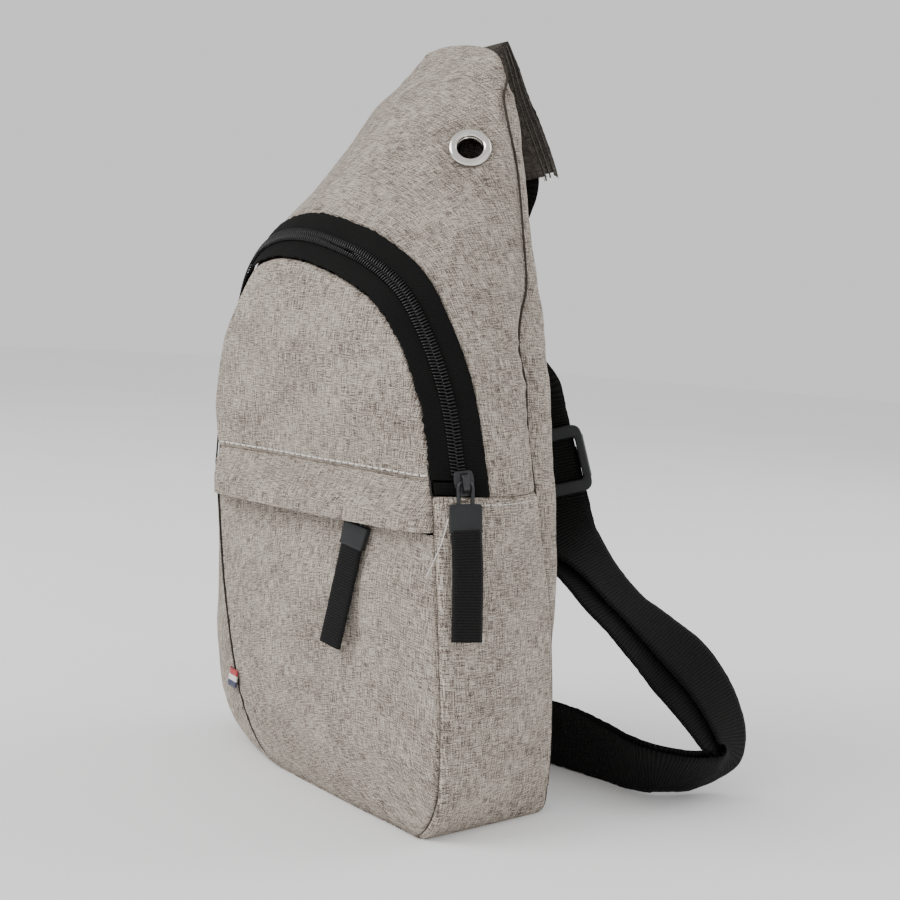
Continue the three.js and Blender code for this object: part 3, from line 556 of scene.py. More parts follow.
def fix_normals(mesh, merge=0.0):
    """Turn a mesh's faces outwards, after merging points closer than merge."""
    made = bmesh.new()
    made.from_mesh(mesh)
    if merge:
        bmesh.ops.remove_doubles(made, verts=made.verts, dist=merge)
    bmesh.ops.recalc_face_normals(made, faces=made.faces)
    made.to_mesh(mesh)
    made.free()


def solid_piece(name, vertices, faces, material, body, uv=None):
    piece = new_piece(name, vertices, faces, material, body, uv)
    fix_normals(piece.data)
    return piece


def tubes(name, paths, radius, material, body="bag_body", sides=6, closed=False):
    """Many round threads or wires in one mesh; paths are lists of points."""
    vertices, faces, uv = [], [], []
    for path in paths:
        path = np.asarray(path, float)
        ahead = np.roll(path, -1, axis=0) - np.roll(path, 1, axis=0) if closed else np.gradient(path, axis=0)
        along = unit(ahead)
        guide = np.array([0.31, 0.52, 0.79]) if abs(along[0][2]) > 0.9 else UP
        a = unit(np.cross(along, guide))
        b = np.cross(along, a)
        start, count = len(vertices), len(path)
        length = arc_lengths(path, 0)
        for i in range(count):
            for k in range(sides):
                angle = 2 * math.pi * k / sides
                uv.append((radius * angle, length[i]))
                vertices.append(path[i] + radius * (math.cos(angle) * a[i] + math.sin(angle) * b[i]))
        faces += loft_faces(count, sides, closed, start)
    return solid_piece(name, vertices, faces, material, body, uv)


def stitch_row(name, line, normal, material, slot, body="bag_body", length=2.6, gap=0.9, radius=0.24, lift=0.1):
    """Separate stitches along a dense line of points; normal gives the outward side."""
    line = np.asarray(line, float)
    normal = np.broadcast_to(np.asarray(normal, float), line.shape)
    where = arc_lengths(line, 0)
    paths = []
    s = gap
    while s + length < where[-1]:
        steps = np.linspace(s, s + length, 6)
        centre = np.stack([np.interp(steps, where, line[:, k]) for k in range(3)], -1)
        out = np.stack([np.interp(steps, where, normal[:, k]) for k in range(3)], -1)
        arch = np.sin(np.linspace(0, np.pi, 6))
        paths.append(centre + out * (lift + 0.55 * radius * (2 * arch - 1))[:, None])
        s += length + gap
    return tubes(name, paths, radius, material, body, sides=5)


# ---- fabric panels ----


def spread(n, ends=0.7):
    """n shares from 0 to 1, closer together at both ends."""
    x = np.linspace(0, 1, n)
    return (1 - ends) * x + ends * (0.5 - 0.5 * np.cos(np.pi * x))


S, T = np.meshgrid(spread(37), spread(241, 0.12), indexing="ij")
RELIEF = dict(slack=1.9, pucker=0.6, roll=0.01)
SIDE_TOP = np.vstack([side_wall(np.full(200, t), np.linspace(0, 1, 200)) for t in (0.0, 1.0)])
SIDE_TOP = tucked(SIDE_TOP, np.array([0, 0, ZIP_END_Z]), 0.9, 0.0)
SIDE_TOP[:, 2] = ZIP_END_Z

gusset = cloth_panel("gusset_cloth", side_wall(T, S), GREY, relief=dict(RELIEF, seed=1.0, top=-0.4),
                     tucks=[((0, 0), FRONT_SEAM), ((0, 1), BACK_SEAM), ((1, 0), SIDE_TOP), ((1, 1), SIDE_TOP)])
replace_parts(gusset, "side_and_bottom_gusset")

PORT_HOLE = 7.2              # radius cut in the cloth for the eyelet
PORT_AT, above, below, left, right = (upper_wall(np.array(t), np.array(v)) for t, v in (
    (0.41, 0.65), (0.41, 0.75), (0.41, 0.55), (0.45, 0.65), (0.37, 0.65)))
PORT_OUT = np.cross(above - below, left - right)
PORT_OUT /= np.linalg.norm(PORT_OUT)
upper_points = upper_wall(T, S)
port_offset = upper_points - PORT_AT
port_height = port_offset @ PORT_OUT
port_away = np.linalg.norm(port_offset - port_height[..., None] * PORT_OUT, axis=-1)
press = 1 - smoothstep(port_away, 10.5, 24)
upper_points = upper_points - PORT_OUT * (port_height * press)[..., None]
ZIP_EDGE = ZIP_OUTER(DENSE) + (ZIP_INNER(DENSE) - ZIP_OUTER(DENSE)) * 0.03 + np.array([0, 0.9, -0.3])
upper = cloth_panel("upper_body_cloth", upper_points, GREY, relief=dict(RELIEF, seed=2.0),
                    tucks=[((0, 0), ZIP_EDGE), ((0, 1), BACK_SEAM), ((1, 0), SIDE_TOP), ((1, 1), SIDE_TOP)],
                    holes=[(PORT_AT, PORT_OUT, PORT_HOLE)])
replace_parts(upper, "upper_body")

U, V = np.meshgrid(spread(81), spread(61), indexing="ij")
POCKET_ZIP_Z, FACE = 129.5, 1.75
panel = front_face(U, 0.2 + (POCKET_ZIP_Z - 3.8) * V)
panel[..., 1] -= FACE
pocket = cloth_panel("pocket_panel_cloth", panel, GREY, outward=(0, -1, 0),
                     relief=dict(slack=1.5, pucker=0.6, roll=0.01, seed=4.0),
                     tucks=[((0, 0), FRONT_SEAM), ((0, 1), FRONT_SEAM), ((1, 0), FRONT_SEAM)])
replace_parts(pocket, "pocket_panel")

fold_z = 124.5 + 2.5 * U * U
cover = front_face(U, fold_z * (1 - V) + (HINGE_Z - 0.4) * V)
stand = np.interp(V, [0, 0.35, 0.6, 0.85, 1], [9.3, 8.5, 5.4, 2.7, 1.6])
side_ease = np.sqrt(np.clip(1 - np.clip(1 - np.minimum(U, 1 - U) / 0.11, 0, 1) ** 2, 0, 1))
cover[..., 1] -= 1.2 + (stand - 1.2) * side_ease
COVER_TOP = front_face(np.linspace(0, 1, 900), np.full(900, HINGE_Z - 0.1)) + np.array([0, 0.3, 0])
fold = cloth_panel("pocket_cover_cloth", cover, GREY, outward=(0, -1, 0),
                   relief=dict(slack=0.3, pucker=0.25, roll=0.01, seed=5.0), thickness=1.3,
                   tucks=[((0, 0), FRONT_SEAM), ((0, 1), FRONT_SEAM), ((1, 1), COVER_TOP)])
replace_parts(fold, "pocket_zip_cover")

wall = front_face(U, 6 + 134 * V)
wall[..., 1] += 9
inner_wall = cloth_panel("pocket_wall_lining", wall, LINING, outward=(0, -1, 0),
                         relief=dict(slack=0.8, pucker=0.2, roll=0.5, seed=6.0), thickness=1.0)
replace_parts(inner_wall, "pocket_inner_wall")


def disc_grid(outline, centre, rings):
    """Points from a centre out to an outline, with each ring's share of the way."""
    r = np.linspace(0.0, 1.0, rings)[:, None, None]
    return centre + (outline[None] - centre) * r, r


FLAP_T = 0.024
flap_line = ZIP_INNER(np.linspace(FLAP_T, 1 - FLAP_T * 0.7, 150))
flap_line[0, 2] = flap_line[-1, 2] = HINGE_Z + 0.4
base_line = flap_line[-1] + (flap_line[0] - flap_line[-1]) * np.linspace(0, 1, 62)[1:-1, None]
flap_outline = np.vstack([flap_line, base_line, flap_line[:1]])
flap_centre = np.array([0, -38.5, 190.0])
flap_points, flap_r = disc_grid(flap_outline, flap_centre, 40)
flap_points[..., 1] -= 5.5 * (1 - flap_r[..., 0] ** 2)


def flap_relief(points):
    inside = (1 - flap_r[..., 0]) * np.linalg.norm(flap_outline - flap_centre, axis=1)[None]
    roll = -1.4 * (1 - np.sqrt(np.maximum(1 - (1 - np.clip(inside / 1.4, 0, 1)) ** 2, 0)))
    uneven = turbulence(points, 42, 8.0) * smoothstep(inside, 0, 16) * 1.3
    fine = turbulence(points, 13, 9.0) * smoothstep(inside, 0, 6) * 0.3
    tension = turbulence(points * np.array([1, 1, 0.35]), 16, 10.0) * np.exp(-inside / 9) * 0.8
    points = points.copy()
    points[..., 1] -= roll + uneven + fine + tension * smoothstep(inside, 0, 2)
    base = smoothstep(HINGE_Z + 2.4 - points[..., 2], 0, 2.4)
    points[..., 1] += 0.2 * base - 1.2 * smoothstep(HINGE_Z + 14 - points[..., 2], 0, 12)
    points[..., 2] -= 1.3 * base
    # The flap's left side stands out over the zip.
    over = smoothstep(-points[..., 0], 34, 70) * (1 - smoothstep(points[..., 2], 196, 228))
    over *= smoothstep(points[..., 2], HINGE_Z - 2, HINGE_Z + 20) * 0.75 + 0.25
    points[..., 0] -= 3.2 * over
    points[..., 1] -= 3.6 * over
    return points


flap_shape = flap_relief(flap_points)
flap_shape[0] = flap_shape[0].mean(axis=0)
flap_uv = flap_shape[..., [0, 2]].reshape(-1, 2)
flap = new_piece("front_flap_cloth", flap_shape.reshape(-1, 3), grid_faces(*flap_shape.shape[:2]), GREY,
                 "flap", flap_uv)
fix_normals(flap.data, 1e-6)
if sum(p.normal.y for p in flap.data.polygons) > 0:
    flap.data.flip_normals()
thicken(flap, CLOTH_THICK, 1)
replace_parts(flap, "front_flap")

# ---- padded back ----
back_outline = BACK_LINE[::9]
back_outline = back_outline[np.linalg.norm(np.roll(back_outline, -1, axis=0) - back_outline, axis=1) > 0.05]
back_centre = np.array([2, SEAM_Y + 1, 150.0])


def ring_normals(line):
    along = np.roll(line, -2, axis=0) - np.roll(line, 2, axis=0)
    out = np.stack([along[:, 2], 0 * along[:, 0], -along[:, 0]], -1)
    out = unit(out)
    return out * np.sign(np.sum(out * (line - back_centre), axis=1).mean())


def ring_shell(rings, front, back):
    """Closed shell from a stack of rings and the two middle points that close it."""
    n = len(rings[0])
    vertices = [p for ring in rings for p in ring] + [front, back]
    last = (len(rings) - 1) * n
    faces = loft_faces(len(rings), n)[:-2]
    for i in range(n):
        j = (i + 1) % n
        faces += [(j, i, len(vertices) - 2), (last + i, last + j, len(vertices) - 1)]
    return vertices, faces


def applied(piece):
    """Freeze a piece's modifiers into its mesh."""
    view = bpy.context.evaluated_depsgraph_get()
    mesh = bpy.data.meshes.new_from_object(piece.evaluated_get(view))
    piece.modifiers.clear()
    piece.data = mesh


def inflate(piece, pressure, cap, frames=20, stiffness=15.0):
    """Swell a closed piece with the Cloth simulation; no point moves further than cap millimetres."""
    before = np.array([v.co for v in piece.data.vertices])
    cloth = piece.modifiers.new("swell", "CLOTH")
    for key, value in dict(quality=5, mass=0.15, tension_stiffness=stiffness, compression_stiffness=stiffness,
                           shear_stiffness=5, bending_stiffness=0.5, use_pressure=True,
                           uniform_pressure_force=pressure).items():
        setattr(cloth.settings, key, value)
    cloth.settings.effector_weights.gravity = 0
    cloth.collision_settings.use_collision = False
    cloth.point_cache.frame_start, cloth.point_cache.frame_end = 1, frames
    scene = bpy.context.scene
    for step in range(1, frames + 1):
        scene.frame_set(step)
    applied(piece)
    after = np.array([v.co for v in piece.data.vertices])
    move = after - before
    far = np.linalg.norm(move, axis=1, keepdims=True)
    after = before + move * np.minimum(1, cap * MM / np.maximum(far, 1e-12))
    piece.data.vertices.foreach_set("co", after.ravel())
    scene.frame_set(1)


# The pad bulges sideways out of its seam and then rounds over to the back: [share of the way to the
# back face, distance outside the seam].
SECTION = [(-0.3, -4.2), (-0.1, -2.8), (0.05, -0.9), (0.28, 1.1), (0.55, 2.1), (0.8, 1.6), (0.97, 0.0),
           (1.14, -3.0), (1.27, -7.5), (1.34, -13)]
VOXEL, PAD_PRESSURE, PAD_SWELL = 4, 4.0, 5.0
pad_out = ring_normals(back_outline)
back_y = np.interp(back_outline[:, 2], [0, 20, 250, 339], [34.0, 34.0, 33.5, 38.6])
deep = np.interp(back_outline[:, 2], [0, 270, 339], [16.0, 15.0, 5.5])
rings = []
tight = np.interp(back_outline[:, 2], [0, 250, 325], [1, 1, 0.25])[:, None]
for share, off in SECTION:
    ring = back_outline + pad_out * off * (tight if share < 0.1 else 1)
    ring[:, 1] = np.where(share < 1, back_outline[:, 1] + (back_y - back_outline[:, 1]) * min(share, 1),
                          back_y + (share - 1) * deep)
    low = 0.2 + 2.2 * max(share - 0.9, 0) / 0.44
    ring[:, 2] = np.maximum(ring[:, 2], low)
    rings.append(ring)
inner = rings[-1]
for share in (0.88, 0.74, 0.58, 0.4, 0.2):
    ring = back_centre + (inner - back_centre) * share
    ring[:, 1] = inner[:, 1] * share + 39.4 * (1 - share)
    rings.append(ring)
front_ring = back_centre + (back_outline - back_centre) * 0.9
front_ring[:, 1] = back_outline[:, 1] - 1.0
rings.insert(0, front_ring)
vertices, faces = ring_shell(rings, np.array([2, 25.5, 150]), np.array([2, 39.6, 150]))
pad = solid_piece("back_pad", vertices, faces, GREY, "bag_body")
remesh = pad.modifiers.new("even", "REMESH")
remesh.mode = "VOXEL"
remesh.voxel_size = VOXEL * MM
applied(pad)
inflate(pad, PAD_PRESSURE, PAD_SWELL)
coords = np.array([v.co for v in pad.data.vertices]) / MM
pad_rise = turbulence(coords, 40, 21.0) * 0.8 + turbulence(coords, 12, 22.0) * 0.25
normal = np.array([v.normal for v in pad.data.vertices])
coords += normal * pad_rise[:, None]
coords[:, 2] = np.maximum(coords[:, 2], 0.3)
pad.data.vertices.foreach_set("co", (coords * MM).ravel())
layer = pad.data.uv_layers.new(name="weave")
corner = np.zeros(len(pad.data.loops), int)
pad.data.loops.foreach_get("vertex_index", corner)
face_of = np.repeat(np.arange(len(pad.data.polygons)), [p.loop_total for p in pad.data.polygons])
lean = np.abs(np.array([p.normal for p in pad.data.polygons]))[face_of]
at = coords[corner]
back_uv, side_uv, end_uv = at[:, [0, 2]], at[:, [1, 2]] + (170, 0), at[:, [0, 1]] + (0, 390)
chosen = np.where((lean[:, 1] > 0.6)[:, None], back_uv, np.where((lean[:, 0] > lean[:, 2])[:, None], side_uv, end_uv))
layer.data.foreach_set("uv", (chosen * MM).ravel())
pad.data.polygons.foreach_set("use_smooth", [True] * len(pad.data.polygons))
if not pad.data.materials:
    pad.data.materials.append(GREY)
fine = pad.modifiers.new("fine", "SUBSURF")
fine.levels = fine.render_levels = 1
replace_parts(pad, "back_cover", "back_foam")

lining_points, _ = disc_grid(back_centre + (back_outline[::2] - back_centre) * 0.97, back_centre, 30)
lining_points[..., 1] -= 1.8
lining_grid = np.concatenate([lining_points, lining_points[:, :1]], axis=1)
back_lining = new_piece("back_lining_cloth", lining_grid.reshape(-1, 3) + (0, -1.0, 0),
                        grid_faces(*lining_grid.shape[:2]), LINING, "bag_body",
                        lining_grid[..., [0, 2]].reshape(-1, 2))
thicken(back_lining, 0.8)
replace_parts(back_lining, "back_lining")

# ---- seam lines: thread tubes that also paint the shade in the seam creases ----
THREAD_CLEAR = 0.6           # the lowest that a seam line runs
seam_out = ring_normals(BACK_SEAM[::6])
# Dark tube along the front seam and the side tops: partly the seam's own dark edge, partly painted shade of the crease;
# it sits further out on the left, where that shade is widest.
front_seam_line = FRONT_SEAM[::5] + np.array([0, -0.95, 0])
front_seam_line += np.where(front_seam_line[:, :1] < -30, (-1.7, -1.2, 0), (0.55, 0, 0))
front_seam_line[:, 2] = np.maximum(front_seam_line[:, 2], THREAD_CLEAR)
tubes("seam_and_shade_lines", [front_seam_line, SIDE_TOP[:200:4] + np.array([0.35, 0, 0])], 0.45, DARK_SEAM_AND_SHADE,
      sides=6)
# The back seam's tube: the seam itself plus painted shade along its crease.
back_seam_and_shade_line = BACK_SEAM[::6] + seam_out * 1.2
back_seam_and_shade_line[:, 2] = np.maximum(back_seam_and_shade_line[:, 2], THREAD_CLEAR + 0.1)
# The line shows from the top down the right side and under the base.
back_seam_and_shade_line = np.roll(back_seam_and_shade_line, -int(np.argmin(back_seam_and_shade_line[:, 0])), axis=0)
back_seam_and_shade_line = back_seam_and_shade_line[(back_seam_and_shade_line[:, 0] > 5) & (back_seam_and_shade_line[:, 2] < 328)]
tubes("back_seam_and_shade_line", [back_seam_and_shade_line], 0.55, SEAM_THREAD_AND_SHADE, sides=6)

# ---- main zip ----
HALF, TAPE_LIFT, TAPE_THICK = BAND / 2, 0.7, 0.6


def strip_cloth(name, points, body, sample):
    """Zip tape from a grid of points, woven across its width."""
    du, dv = arc_lengths(points, 0), arc_lengths(points, 1)
    piece = new_piece(name, points.reshape(-1, 3), grid_faces(*points.shape[:2]), TAPE, body,
                      np.stack([dv, du], -1).reshape(-1, 2))
    if piece.data.polygons[sample].normal.y > 0:
        piece.data.flip_normals()
    thicken(piece, TAPE_THICK)
    return piece


def band_strip(name, w_from, w_to, t_from, t_to, body, node, count=400, fray_inner=0.0, fray_outer=0.0, seed=0.0):
    t = np.linspace(t_from, t_to, count)
    w = np.linspace(0, 1, 9)
    tt, ww = np.meshgrid(t, w, indexing="ij")
    arc = np.arange(count) * 1.3
    low = w_from + fray_inner * np.array([noise.noise(Vector((a * 0.21 + seed, 1.7, 0))) for a in arc])
    high = w_to + fray_outer * np.array([noise.noise(Vector((a * 0.21 + seed, 8.3, 0))) for a in arc])
    width = low[:, None] + (high - low)[:, None] * ww
    points = zip_band(tt, width)
    normals = grid_normals(points)
    if np.mean(normals[..., 1]) > 0:
        normals = -normals
    wave = 0.22 * turbulence(points, 11, seed + 2.0) * np.sin(np.pi * ww)
    points = points + normals * (TAPE_LIFT + wave)[..., None]
    piece = strip_cloth(name, points, body, (count - 1) * 8 // 2)
    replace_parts(piece, node)


band_strip("zip_tape_inner_cloth", 0.6, HALF - 0.8, FLAP_T + 0.004, 1 - FLAP_T + 0.004, "flap",
           "zip_tape_inner", fray_inner=1.1, seed=1.0)
band_strip("zip_tape_outer_cloth", HALF + 0.9, BAND - 0.2, 0.001, 0.999, "bag_body", "zip_tape_outer",
           fray_outer=0.7, seed=5.0)
for side, span in (("right", (0.001, FLAP_T)), ("left", (1 - FLAP_T + 0.007, 0.999))):
    band_strip(f"zip_tape_end_{side}_cloth", 0.9, HALF - 0.8, *span, "bag_body", f"zip_tape_end_{side}",
               count=12, seed=9.0)


# One loop's points: [across from its head, height over the tape, share of the pitch along].
COIL_LOOP = [(0.45, 0.45, 0.0), (0.0, 0.75, 0.05), (-0.42, 1.15, 0.12), (0.2, 1.55, 0.2), (1.4, 1.62, 0.3),
             (2.6, 1.52, 0.42), (3.0, 1.0, 0.55), (2.5, 0.5, 0.62)]
SLIDER_ZONE = 34             # the coil lies flatter where the slider runs over it


def coil(name, frames_at, length, body, inward, node, wire=0.34, pitch=1.42):
    """Half of a coil zip: one loop of nylon wire per pitch, its head over the centre line."""
    paths = []
    for i in range(int(length / pitch)):
        s = (i + (0.5 if inward > 0 else 0.0)) * pitch
        centre, along, across, out = frames_at(s)
        low = 1 - 0.3 * (s < SLIDER_ZONE)
        loop = []
        for w, h, a in COIL_LOOP:
            loop.append(centre + across * (w * inward) + out * (h * low + 0.25) + along * (a * pitch))
        paths.append(loop)
    piece = tubes(name, paths, wire, NYLON, body, sides=6)
    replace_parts(piece, node)


def band_frames(t_from, t_to):
    t = np.linspace(t_from, t_to, 1500)
    line = zip_band(t, HALF)
    where = arc_lengths(line, 0)
    across = unit(ZIP_OUTER(t) - ZIP_INNER(t))
    along = unit(np.gradient(line, axis=0))
    out = unit(np.cross(across, along))
    if out[:, 1].mean() > 0:
        out = -out

    def at(s):
        i = min(int(np.searchsorted(where, s)), len(t) - 1)
        return line[i], along[i], across[i], out[i]
    return at, where[-1]


at_inner, inner_length = band_frames(0.036, 1 - FLAP_T)
coil("zip_coil_inner_loops", at_inner, inner_length, "flap", -1, "zip_coil_inner")
at_outer, outer_length = band_frames(0.012, 0.985)
coil("zip_coil_outer_loops", at_outer, outer_length, "bag_body", 1, "zip_coil_outer")

# ---- pocket zip, under its cover ----


def pocket_strip(name, z_from, z_to, node):
    u, v = np.meshgrid(np.linspace(0.03, 0.97, 60), np.linspace(0, 1, 5), indexing="ij")
    points = front_face(u, z_from + (z_to - z_from) * v)
    points[..., 1] += 0.3
    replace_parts(strip_cloth(name, points, "bag_body", 10), node)


pocket_strip("pocket_tape_lower_cloth", POCKET_ZIP_Z - 9, POCKET_ZIP_Z - 0.9, "pocket_zip_tape_lower")
pocket_strip("pocket_tape_upper_cloth", POCKET_ZIP_Z + 0.9, POCKET_ZIP_Z + 13, "pocket_zip_tape_upper")


def pocket_frames():
    u = np.linspace(0.05, 0.95, 600)
    line = front_face(u, np.full(600, POCKET_ZIP_Z))
    where = arc_lengths(line, 0)
    along = unit(np.gradient(line, axis=0))

    def at(s):
        i = min(int(np.searchsorted(where, s)), 599)
        return line[i] + (0, 0.55, 0), along[i], UP, np.array([0, -1.0, 0])
    return at, where[-1]


at_pocket, pocket_length = pocket_frames()
coil("pocket_coil_lower_loops", at_pocket, pocket_length, "bag_body", -1, "pocket_coil_lower", 0.3)
coil("pocket_coil_upper_loops", at_pocket, pocket_length, "bag_body", 1, "pocket_coil_upper", 0.3)

# ---- cable port ----


def turned(name, profile, node):
    """A closed profile of [radius, height] points turned about the port's axis."""
    angles = [2 * math.pi * i / TURN_STEPS for i in range(TURN_STEPS)]
    vertices = [tuple(port @ Vector((r * math.cos(a), r * math.sin(a), h))) for a in angles for r, h in profile]
    piece = solid_piece(name, vertices, loft_faces(TURN_STEPS, len(profile), True), SILVER, "bag_body")
    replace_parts(piece, node)


def frame_at(origin, along, outward):
    y = Vector(along).normalized()
    z = Vector(outward)
    z = (z - y * z.dot(y)).normalized()
    x = y.cross(z)
    return Matrix(((x.x, y.x, z.x, origin[0]), (x.y, y.y, z.y, origin[1]),
                   (x.z, y.z, z.z, origin[2]), (0, 0, 0, 1)))


TURN_STEPS = 72
port = frame_at(PORT_AT, Vector((0, 0, 1)) - Vector(PORT_OUT) * PORT_OUT[2], PORT_OUT)
ARC = [math.radians(a) for a in range(-20, 201, 20)]
rolled_rim = [(7.55 + 1.85 * math.cos(a), 0.75 + 1.35 * math.sin(a)) for a in ARC]
turned("port_eyelet_ring", [(9.2, 0.45), *rolled_rim, (5.6, 0.2), (5.6, -3.4), (6.2, -3.4), (6.2, -0.1)],
       "port_eyelet")
turned("port_washer_ring", [(6.65, -2.9), (8.5, -2.9), (8.8, -2.6), (8.6, -2.3), (6.65, -2.1)], "port_washer")

# ---- moulded and cast parts ----


def rounded(points, radius, steps=5):
    """A polygon with its corners rounded; radius is one number or one per corner."""
    p = [np.array(q, float) for q in points]
    out = []
    for i, corner in enumerate(p):
        r = radius[i] if hasattr(radius, "__len__") else radius
        a, b = p[i - 1] - corner, p[(i + 1) % len(p)] - corner
        ra = min(r, 0.49 * np.linalg.norm(a)) / np.linalg.norm(a)
        rb = min(r, 0.49 * np.linalg.norm(b)) / np.linalg.norm(b)
        start, end = corner + a * ra, corner + b * rb
        for k in range(steps + 1):
            t = k / steps
            out.append((1 - t) ** 2 * start + 2 * t * (1 - t) * corner + t * t * end)
    return out


def box_outline(width, height, y=0.0):
    return [(-width / 2, y - height / 2), (width / 2, y - height / 2), (width / 2, y + height / 2),
            (-width / 2, y + height / 2)]


def slab(outlines, z_from, z_to, bevel):
    """A plate with rounded edges from its outline and holes; returns a mesh in millimetres."""
    data = bpy.data.curves.new("outline", "CURVE")
    data.dimensions = "2D"
    data.fill_mode = "BOTH"
    data.extrude = (z_to - z_from) / 2 - bevel
    data.bevel_depth = bevel
    data.bevel_resolution = 3
    data.offset = -bevel
    for outline in outlines:
        line = data.splines.new("POLY")
        line.points.add(len(outline) - 1)
        for point, (x, y) in zip(line.points, outline):
            point.co = (x, y, 0, 1)
        line.use_cyclic_u = True
    holder = added("outline", data)
    mesh = bpy.data.meshes.new_from_object(holder.evaluated_get(bpy.context.evaluated_depsgraph_get()))
    mesh.transform(Matrix.Translation((0, 0, (z_from + z_to) / 2)))
    bpy.data.objects.remove(holder)
    bpy.data.curves.remove(data)
    return mesh


def swept_band(path, across, width, thick, bevel=0.35):
    """A short cast band through path, rounded in section; returns a mesh in millimetres."""
    path = np.asarray(path, float)
    along = unit(np.gradient(path, axis=0))
    across = np.asarray(across, float)
    out = np.cross(along, across)
    section = rounded(box_outline(width, thick), bevel, 3)
    vertices = [path[i] + across * a + out[i] * b for i in range(len(path)) for a, b in section]
    mesh = bpy.data.meshes.new("band")
    mesh.from_pydata([tuple(v) for v in vertices], [], loft_faces(len(path), len(section)))
    return mesh


def assembled(name, meshes, matrix, material, body, crease=35):
    """One piece from several meshes in millimetres, placed by matrix."""
    whole = bmesh.new()
    for mesh in meshes:
        fix_normals(mesh, 1e-4)
        whole.from_mesh(mesh)
        bpy.data.meshes.remove(mesh)
    bmesh.ops.transform(whole, matrix=Matrix.Scale(MM, 4) @ matrix, verts=whole.verts)
    mesh = bpy.data.meshes.new(name)
    whole.to_mesh(mesh)
    whole.free()
    mesh.polygons.foreach_set("use_smooth", [True] * len(mesh.polygons))
    mesh.set_sharp_from_angle(angle=math.radians(crease))
    mesh.materials.append(material)
    return linked(name, mesh, body)


def through(matrix, points):
    return np.array([tuple(matrix @ Vector(p)) for p in points])


def slider(name, matrix, scale, turn, body, node):
    """A cast slider with its bridge; the smaller one also has a divider and two side lips."""
    under, thick = 2.4, 1.2
    outline = rounded([(-2.9, -5.25), (2.9, -5.25), (4.3, 1.2), (3.6, 5.25), (-3.6, 5.25), (-4.3, 1.2)],
                      [0.5, 0.5, 2.2, 1.6, 1.6, 2.2])
    plate = slab([outline], under, under + thick, 0.3)
    raised = slab([[(0.62 * x, 0.72 * y) for x, y in outline]], under + thick - 0.3, under + thick + 0.35, 0.25)
    base = under + thick
    path = Track((0, -3.4, base - 0.1), (0, -3.3, base + 2.6), (0, -2.3, base + 4.2), (0, 0, base + 4.55),
                 (0, 2.3, base + 4.2), (0, 3.3, base + 2.6), (0, 3.4, base - 0.1))(np.linspace(0, 1, 33))
    arch = swept_band(path, (1, 0, 0), 2.6, 1.25, 0.4)
    arch.transform(Matrix.Rotation(turn, 4, "Z"))
    post = slab([rounded(box_outline(0.9, 2.6, -3.9), 0.3)], -0.2, under + 0.6, 0.15)
    lips = [slab([rounded([(s * 4.25, -2.4), (s * 3.55, -2.4), (s * 3.3, 3.2), (s * 4.1, 3.2)], 0.25)], 1.35,
                 under + 0.4, 0.2) for s in (-1, 1)]
    meshes = [plate, raised, arch] + ([post, *lips] if scale < 1 else [])
    piece = assembled(name, meshes, matrix @ Matrix.Scale(scale, 4), GUNMETAL,
                      body)
    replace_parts(piece, node)


def pull(prefix, matrix, drop, holder, lip, tail, bodies, stand=0.0):
    """Wire link, moulded holder and ribbed webbing that hang from a pivot."""
    wire = Track((-2.8, -drop, 0), (-2.85, -drop * 0.5, 0), (-2.7, -1.6, 0), (-1.9, -0.25, 0), (0, 0.05, 0),
                 (1.9, -0.25, 0), (2.7, -1.6, 0), (2.85, -drop * 0.5, 0), (2.8, -drop, 0))(np.linspace(0, 1, 49))
    link = tubes(f"{prefix}_link_wire", [through(matrix, wire)], 0.82, GUNMETAL, bodies[0], sides=12)
    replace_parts(link, f"{prefix}_link")
    outline, thick = holder
    top = 3 - drop
    block = slab([rounded(outline, 1.1)], -thick / 2, thick / 2, 0.55)
    lip_slab = slab([rounded(lip, 0.5)], -thick / 2 - 0.2, thick / 2 + 0.2, 0.4)
    for mesh in (block, lip_slab):
        mesh.transform(Matrix.Translation((0, top, 0)))
    piece = assembled(f"{prefix}_holder_block", [block, lip_slab], matrix, PLASTIC, bodies[0])
    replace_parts(piece, f"{prefix}_holder")
    length, tail_thick, start = tail
    y = np.linspace(top - start + 1.2, top - start - length, 330)
    down = (y[0] - y) / length
    bow = stand + 0.45 * np.sin(down * np.pi * 1.3) + 0.5 * down ** 2
    sway = 0.35 * np.sin(down * 4.0)
    path = through(matrix, np.stack([sway, y, bow], -1))
    lean = through(matrix, [(1, 0, 0)])[0] - through(matrix, [(0, 0, 0)])[0]
    tab = ribbon(f"{prefix}_webbing_strip", path, np.tile(lean, (330, 1)), 12.5, tail_thick, PULL,
                 "black_webbing", bodies[1], crown=0.12, rib=(1.15, 0.13), fray=0.12, section=13)
    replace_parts(tab, f"{prefix}_webbing")


leg_up = Vector(ZIP_INNER(0.13) - ZIP_INNER(0.01)).normalized()
leg_out = Vector(ZIP_OUTER(0.05) - ZIP_INNER(0.05)).cross(leg_up).normalized()
main_seat = Vector(ZIP_INNER(0.022) * 0.44 + ZIP_OUTER(0.022) * 0.56)
slider("main_slider_body_cast", frame_at(main_seat, leg_up, leg_out), 1.0, 0.0, "main_slider_body", "main_slider")
PIVOT_RISE = 6.0             # from a slider's seat to the axis that its pull hangs on
main_pivot = main_seat + leg_out * PIVOT_RISE
main_out = Vector((leg_out.x, leg_out.y, 0)).normalized()
main_frame = frame_at(main_pivot, (-0.156, 0.052, 1), main_out)
pull("main_pull", main_frame, 11.5,
     ([(-6.5, -11.5), (6.5, -11.5), (6.5, 0), (-6.5, 0)], 3.2),
     [(-6.6, -11.6), (6.6, -11.6), (6.6, -10.0), (-6.6, -10.0)],
     (43, 1.9, 11.6), ("main_pull", "main_pull_tail"), 1.1)

